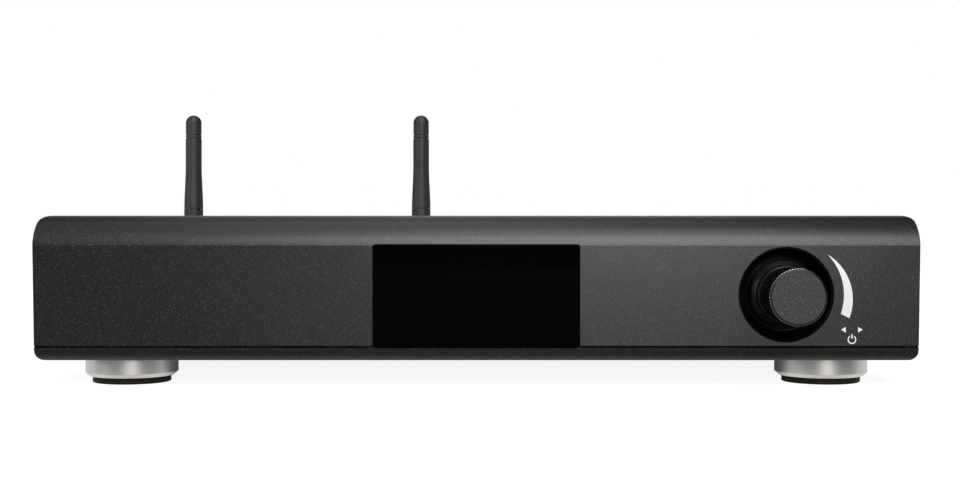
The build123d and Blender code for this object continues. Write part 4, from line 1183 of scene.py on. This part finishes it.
@dataclass
class Aerial:
    """A folding aerial: whip with its ringed cap, elbow, pin, nuts and socket."""

    side: str
    length: float = 69.7
    base: float = 6.335
    waist: float = 5.35
    cap: float = 5.23
    dome: float = 5.1
    cap_length: float = 13.5
    pitch: float = 2.1
    groove: tuple[Point, ...] = ((0.0, 0.55), (0.22, 0.3), (0.32, 0.0), (0.22, -0.3))
    taper: Point = (36.2, 62.0)
    tongue: float = 3.6
    tongue_inset: float = 0.24
    pin: float = 1.55

    def whip_outline(self) -> list[Point]:
        """The whip's radius against height above its pivot."""
        tip, first, cap = self.length, self.length - self.cap_length, self.cap
        turns = [math.radians(a) for a in range(0, 91, 9)]
        points = [(cap * math.sin(a), tip - self.dome * (1 - math.cos(a))) for a in turns]
        for place, below in ((first, cap), (first - self.pitch, self.waist)):
            points += [(cap - deep, place + rise) for deep, rise in self.groove]
            points.append((below, place - self.groove[0][1]))
        start, end = tip - self.taper[0], tip - self.taper[1]
        for i in range(17):
            t = i / 16
            ease = 0.5 * t + 0.5 * t * t * (3 - 2 * t)
            radius = self.waist + (self.base - self.waist) * ease
            points.append((radius, start + (end - start) * t))
        shoulder = self.base + 0.08
        return points + [(self.base, shoulder + 0.25), (self.base - 0.2, shoulder), (0.0, shoulder)]

    def build(self) -> None:
        """Makes the aerial's pieces."""
        name = f"aerial_{self.side}"
        pivot, plastic = middle_of(f"{name}_pin"), "aerial_plastic"
        whip = turned(f"{name}_whip_tube", self.whip_outline(), Axis.HEIGHT, pivot, 72)
        dress(shade(whip, 40), MOULDED, f"{name}_whip", plastic, [f"{name}_whip"])
        self._tongue(name, pivot)
        for kind, finish, slot, body in (
            ("elbow", MOULDED, plastic, f"{name}_elbow"),
            ("pin", SCREW, plastic, f"{name}_elbow"),
            ("nuts", GOLD, "gold_plated", Body.CASE),
            ("socket", GOLD, "gold_plated", Body.CASE),
        ):
            node = f"{name}_{kind}"
            dress(shade(merged_copy(node, f"{node}_smooth"), 35), finish, body, slot, [node])

    def _tongue(self, name: str, pivot: Vector) -> Piece:
        """The tongue below the whip, round about the pivot and bored for the pin."""
        end, half, top = self.base - self.tongue_inset, self.tongue, self.base + 0.7
        outline = arc((0.0, 0.0), end, 180, 360, 28) + [(end, top), (-end, top)]
        slices = ((-half, 0.97), (-half + 0.2, 1.0), (half - 0.2, 1.0), (half, 0.97))
        stations = [(pivot + Vector((x * MM, 0, 0)), Y * grow, Z) for x, grow in slices]
        tongue = swept(f"{name}_tongue", outline, stations)
        far = 9.0
        round_off = [(0.0, -far), (self.base, -far), (self.base, far), (0.0, far)]
        cut(tongue, turned("round", round_off, Axis.HEIGHT, pivot, 72), "INTERSECT")
        stations = [(pivot + Vector((x * MM, 0, 0)), Y, Z) for x in (-far, far)]
        cut(tongue, swept("hole", arc((0.0, 0.0), self.pin, 0, 345, 23), stations))
        return dress(shade(tongue, 35), MOULDED, f"{name}_whip", "aerial_plastic")


@dataclass
class Fasteners:
    """The case's round-headed and flat-headed screws and the feet's socket-head bolts."""

    head: Point = (2.66, 1.8)
    head_edge: float = 0.35
    flat: Point = (2.6, 1.3)
    shank: Point = (1.42, 6.0)
    bolt_head: Point = (4.3, 3.0)
    bolt_edge: float = 0.4
    bolt_shank: Point = (2.42, 9.0)
    drive: Point = (0.42, 1.45)
    drive_taper: Point = (1.15, 0.7)
    drive_depths: Point = (1.2, 1.0)
    hexagon: Point = (2.3, 2.0)
    front: tuple[float, ...] = (-109.52, -190.0, 0.0, 190.0)
    under: tuple[float, ...] = (121.98, -188.0, 188.0)
    rear: tuple[float, ...] = (76.7, -200.0, 0.0, 200.0)
    side: tuple[float, ...] = (214.22, 21.1, -36.97, 96.31)
    feet: tuple[float, ...] = (174.5, -95.52, 92.48)

    def _cross(self, top: float, depth: float) -> Piece:
        """The tapered cross that cuts a screw's drive."""
        a, b = self.drive
        outline: list[Point] = []
        for turn in range(4):
            c, d = round(math.cos(turn * math.pi / 2)), round(math.sin(turn * math.pi / 2))
            quarter = [(b, -a), (b, a), (a, a), (a, b)]
            outline += [(x * c - y * d, x * d + y * c) for x, y in quarter]
        levels = zip((top + 0.5, top - depth), self.drive_taper)
        stations = [(Vector((0, 0, z * MM)), X * grow, Y * grow) for z, grow in levels]
        return swept("drive", outline, stations)

    def _screw(self, name: str, outline: Sequence[Point], top: float, depth: float) -> Piece:
        """One screw with its cross drive, its head towards +Z."""
        radius, length = self.shank
        points = [*outline, (radius, -length), (0.0, -length)]
        unit = turned(name, points, Axis.HEIGHT, ORIGIN, 32)
        return shade(cut(unit, self._cross(top, depth)), 30)

    def _units(self) -> tuple[Piece, Piece, Piece]:
        """One of each kind: round-headed screw, flat-headed screw and bolt."""
        radius, rise = self.head
        shank, edge = self.shank[0], self.head_edge
        turns = [math.radians(a) for a in range(0, 91, 15)]
        dome = [(radius * math.sin(a), edge + (rise - edge) * math.cos(a)) for a in turns]
        deep, shallow = self.drive_depths
        round_head = [*dome, (radius, 0.0), (shank, 0.0)]
        wide, sunk = self.flat
        flat_head = [(0.0, 0.0), (wide - 0.1, 0.0), (wide, -0.08), (shank, -sunk)]
        screws = (
            self._screw("round_unit", round_head, rise, deep),
            self._screw("flat_unit", flat_head, 0.0, shallow),
        )
        radius, rise = self.bolt_head
        shank, length = self.bolt_shank
        corners = [(0.0, rise), (radius, rise), (radius, 0.0), (shank, 0.0)]
        outline = softened(corners, self.bolt_edge) + [(shank, -length), (0.0, -length)]
        bolt = turned("bolt_unit", outline, Axis.HEIGHT, ORIGIN, 40)
        across, depth = self.hexagon
        hexagon = arc((0.0, 0.0), across, 0, 300, 5)
        levels = [(Vector((0, 0, z * MM)), X, Y) for z in (rise + 1, rise - depth)]
        cut(bolt, swept("hexagon", hexagon, levels))
        return (*screws, shade(bolt, 30))

    def build(self) -> None:
        """Makes the screws and bolts."""
        round_head, flat_head, bolt = self._units()
        low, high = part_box("case_screws")
        level, back = low.z / MM + self.head[1], high.y / MM - self.head[1]
        y, *row = self.front
        places = [(Vector((x, y, level + self.head[1])), DOWN) for x in row]
        y, *row = self.under
        places += [(Vector((x, y, level)), DOWN) for x in row]
        z, *row = self.rear
        places += [(Vector((x, back, z)), Y) for x in row]
        x, z, *row = self.side
        ways = (-1, 1)
        sides = [(Vector((way * x, y, z)), Vector((way, 0, 0))) for way in ways for y in row]
        x, *row = self.feet
        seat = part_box("foot_bolts")[0].z / MM + self.bolt_head[1]
        stands = [(Vector((way * x, y, seat)), DOWN) for way in ways for y in row]
        for name, unit, spots, finish, nodes in (
            ("case_screws_round", round_head, places, SCREW, ["case_screws"]),
            ("case_screws_flat", flat_head, sides, SCREW, []),
            ("foot_bolts_socket_head", bolt, stands, ZINC, ["foot_bolts"]),
        ):
            copies = Spread(f"Spread of {name}", finish.material())
            dress(copies.apply(name, unit, spots), finish, Body.CASE, None, nodes)


@dataclass
class Carried:
    """CAD nodes that keep their shape and get a finish, some through a smooth copy."""

    smooth: tuple[str, ...] = (
        "rca_shells",
        "line_out_block",
        "digital_out_block",
        "power_rocker",
        "filter_capacitors",
        "transformer",
        "aerial_leads",
        "encoder_shaft",
        "top_cover",
    )

    def build(self) -> None:
        """Dresses every node that no other class replaces."""
        slots = {row["node"]: row.get("material_slot") for row in frame["record"]["subparts"]}
        for node, finish in NODE_FINISHES.items():
            piece = frame["nodes"][node]
            if node in self.smooth:
                copy = shade(merged_copy(node, f"{node}_smooth"), 35)
                dress(copy, finish, piece["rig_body"], slots[node], [node])
                continue
            paint(piece, finish)
            LOG.info("%s: CAD node with %s", node, finish.name)


# ---- light, floor and camera, in metres


@dataclass(frozen=True)
class Lamp:
    """A soft rectangular lamp.

    Attributes:
        name: The lamp's name.
        place: Where it hangs.
        aim: The point that it faces.
        size: Its width and height.
        power: Its power in watts.
    """

    name: str
    place: Triple
    aim: Triple
    size: Point
    power: float

    def build(self) -> None:
        """Hangs the lamp, out of the camera's sight."""
        data = bpy.data.lights.new(self.name, "AREA")
        data.shape = "RECTANGLE"
        data.size, data.size_y = self.size
        data.energy = self.power
        lamp = new_piece(self.name, data)
        lamp.location = self.place
        way = Vector(self.aim) - Vector(self.place)
        lamp.rotation_euler = way.to_track_quat("-Z", "Y").to_euler()
        lamp.visible_camera = False


LAMPS = (
    Lamp("face", (0.3, -2.13, 0.3), (0.05, -0.13, 0.05), (0.65, 0.35), 7.0),
    Lamp("brow", (0.32, -1.72, 1.4), (0.0, -0.13, 0.06), (1.3, 1.5), 31.0),
    Lamp("crown", (0.28, -0.72, 1.96), (0.05, -0.13, 0.06), (0.85, 1.0), 5.0),
    Lamp("left_fill", (-1.7, -1.0, 0.5), (0.0, -0.1, 0.05), (0.9, 0.8), 5.0),
    Lamp("left_high", (-1.6, -0.72, 1.0), (0.15, -0.15, 0.05), (0.6, 0.6), 3.5),
)


@dataclass
class Studio:
    """The pale floor, the white surround, the soft lamps and the camera.

    A span holds a value's two ends, and the two results that they map to.
    """

    focal_px: float = 1446.9
    frame_px: tuple[int, int] = (960, 502)
    centre_px: Point = (476.35, 228.0)
    sensor: float = 36.0
    distance: float = 0.7
    height: float = 0.0775
    clip: Point = (0.01, 60.0)
    pale: Triple = (0.3, 0.3, 0.3)
    rear_wall: Span = (0.88, 0.98, 0.015, 1.0)
    dome_lean: Point = (0.96, 0.28)
    dome_falloff: float = 1.6
    dome_level: float = 1.8
    dome_aside: float = 0.03
    dome_sides: Span = (0.03, 0.3, 1.0, 0.08)
    floor_reach: float = 14.0
    floor_before: Span = (0.03, 0.2, 0.13, 0.06)
    floor_edge: Triple = (-0.134, -0.112, 0.95)
    # The painted shadow that darkens the floor's glow in reflections under the case: across, then
    # along.
    reflected_shadow_across: Span = (0.185, 0.215, 0.93, 0.0)
    reflected_shadow_along: Span = (-0.105, -0.085, 0.0, 1.0)
    floor_white: Span = (0.35, 1.1, 0.9, 1.0)

    def camera(self) -> None:
        """Sets the camera at the photograph's angle."""
        data = bpy.data.cameras.new("camera")
        wide, high = self.frame_px
        data.sensor_width = self.sensor
        data.lens = self.focal_px / wide * self.sensor
        data.shift_x = (wide / 2 - self.centre_px[0]) / wide
        data.shift_y = -(high / 2 - self.centre_px[1]) / wide
        data.clip_start, data.clip_end = self.clip
        camera = new_piece("camera", data)
        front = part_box("front_panel")[0].y
        camera.location = (0.0, front - self.distance, self.height)
        camera.rotation_euler = (math.pi / 2, 0.0, 0.0)
        bpy.context.scene.camera = camera

    def world(self) -> None:
        """A surround that is white where it is seen, and soft where it lights.

        Reflections meet white straight behind the object, and a dome that is
        brightest above the middle of its front and falls off to the sides.
        """
        world = bpy.data.worlds.new("surround")
        s = emptied(world)
        path = s.node("ShaderNodeLightPath").outputs
        place = s.node("ShaderNodeTexCoord").outputs["Generated"]
        x, y, z = s.node("ShaderNodeSeparateXYZ", in_Vector=place).outputs
        rear = s.remap(y, *self.rear_wall)
        up, back = self.dome_lean
        lean = s.maths("MAXIMUM", s.maths("SUBTRACT", s.times(z, up), s.times(y, back)), 0.0)
        dome = s.times(s.maths("POWER", lean, self.dome_falloff), self.dome_level)
        beside = s.maths("ABSOLUTE", s.maths("ADD", x, self.dome_aside))
        level = s.maths("MAXIMUM", rear, s.times(dome, s.remap(beside, *self.dome_sides)))
        soft = s.node("ShaderNodeCombineColor", in_Red=level, in_Green=level, in_Blue=level)
        colour = s.blend(path["Is Glossy Ray"], self.pale, soft.outputs[0])
        for ray in ("Is Transmission Ray", "Is Camera Ray"):
            colour = s.blend(path[ray], colour, grey(1.0))
        light = s.node("ShaderNodeBackground", in_Color=colour, in_Strength=1.0)
        s.node("ShaderNodeOutputWorld", in_Surface=light.outputs[0])
        bpy.context.scene.world = world

    def floor_glow(self, s: Sheet) -> Socket:
        """The floor's own light: near white where it is seen, and shaped in reflections.

        Reflections meet the floor's glow, a painted reflection of lit floor: dim before the case,
        bright from its front edge back, and darker under the case, a painted shadow there.
        From below the floor is clear.

        Args:
            s: The sheet that the floor's material is built on.

        Returns:
            The light's strength.
        """
        path = s.node("ShaderNodeLightPath").outputs
        place = s.node("ShaderNodeTexCoord").outputs["Object"]
        x, y, _ = s.node("ShaderNodeSeparateXYZ", in_Vector=place).outputs
        beside = s.maths("ABSOLUTE", x)
        start, end, beyond = self.floor_edge
        # The floor's glow in reflections is a painted reflection of lit floor.
        near = s.remap(y, start, end, s.remap(beside, *self.floor_before), beyond)
        # Painted shadow: the glow is darkened beneath the case.
        under = s.times(s.remap(beside, *self.reflected_shadow_across), s.remap(y, *self.reflected_shadow_along))
        near = s.times(near, s.maths("SUBTRACT", 1.0, under))
        away = s.node("ShaderNodeVectorMath", operation="LENGTH", in_0=place)
        white = s.remap(away.outputs["Value"], *self.floor_white)
        seen = s.maths("MAXIMUM", path["Is Camera Ray"], path["Is Transmission Ray"])
        return s.maths("ADD", s.times(seen, white), s.times(path["Is Glossy Ray"], near))

    def floor(self) -> None:
        """A pale floor that keeps the object's shadow, and is clear from below."""
        mesh = bpy.data.meshes.new("floor")
        r = self.floor_reach
        mesh.from_pydata([(-r, -r, 0), (r, -r, 0), (r, r, 0), (-r, r, 0)], [], [(0, 1, 2, 3)])
        floor = new_piece("floor", mesh)
        material = bpy.data.materials.new("pale_floor")
        s = emptied(material)
        matt = s.node("ShaderNodeBsdfDiffuse", in_Color=self.pale)
        light = s.node("ShaderNodeEmission", in_Color=grey(1.0), in_Strength=self.floor_glow(s))
        both = s.node("ShaderNodeAddShader", in_0=matt.outputs[0], in_1=light.outputs[0])
        side = s.node("ShaderNodeMixShader", in_1=both.outputs[0])
        s.feed(side, 0, s.node("ShaderNodeNewGeometry").outputs["Backfacing"])
        s.feed(side, 2, s.node("ShaderNodeBsdfTransparent").outputs[0])
        s.node("ShaderNodeOutputMaterial", in_Surface=side.outputs[0])
        floor.data.materials.append(material)

    def build(self) -> None:
        """Sets up the whole studio."""
        self.camera()
        self.world()
        self.floor()
        for lamp in LAMPS:
            lamp.build()
        bpy.context.scene.view_settings.view_transform = "Standard"


def main() -> None:
    """Builds every sub-assembly in order."""
    logging.basicConfig(level=logging.INFO, format="%(name)s: %(message)s")
    Studio().build()
    FrontPanel().build()
    Marks().build()
    Display().build()
    Well().build()
    Knob().build()
    for name in ("front_left", "front_right", "rear_left", "rear_right"):
        Foot(name).build()
    for side in ("left", "right"):
        Aerial(side).build()
    Fasteners().build()
    Carried().build()


if __name__ == "__main__":
    main()
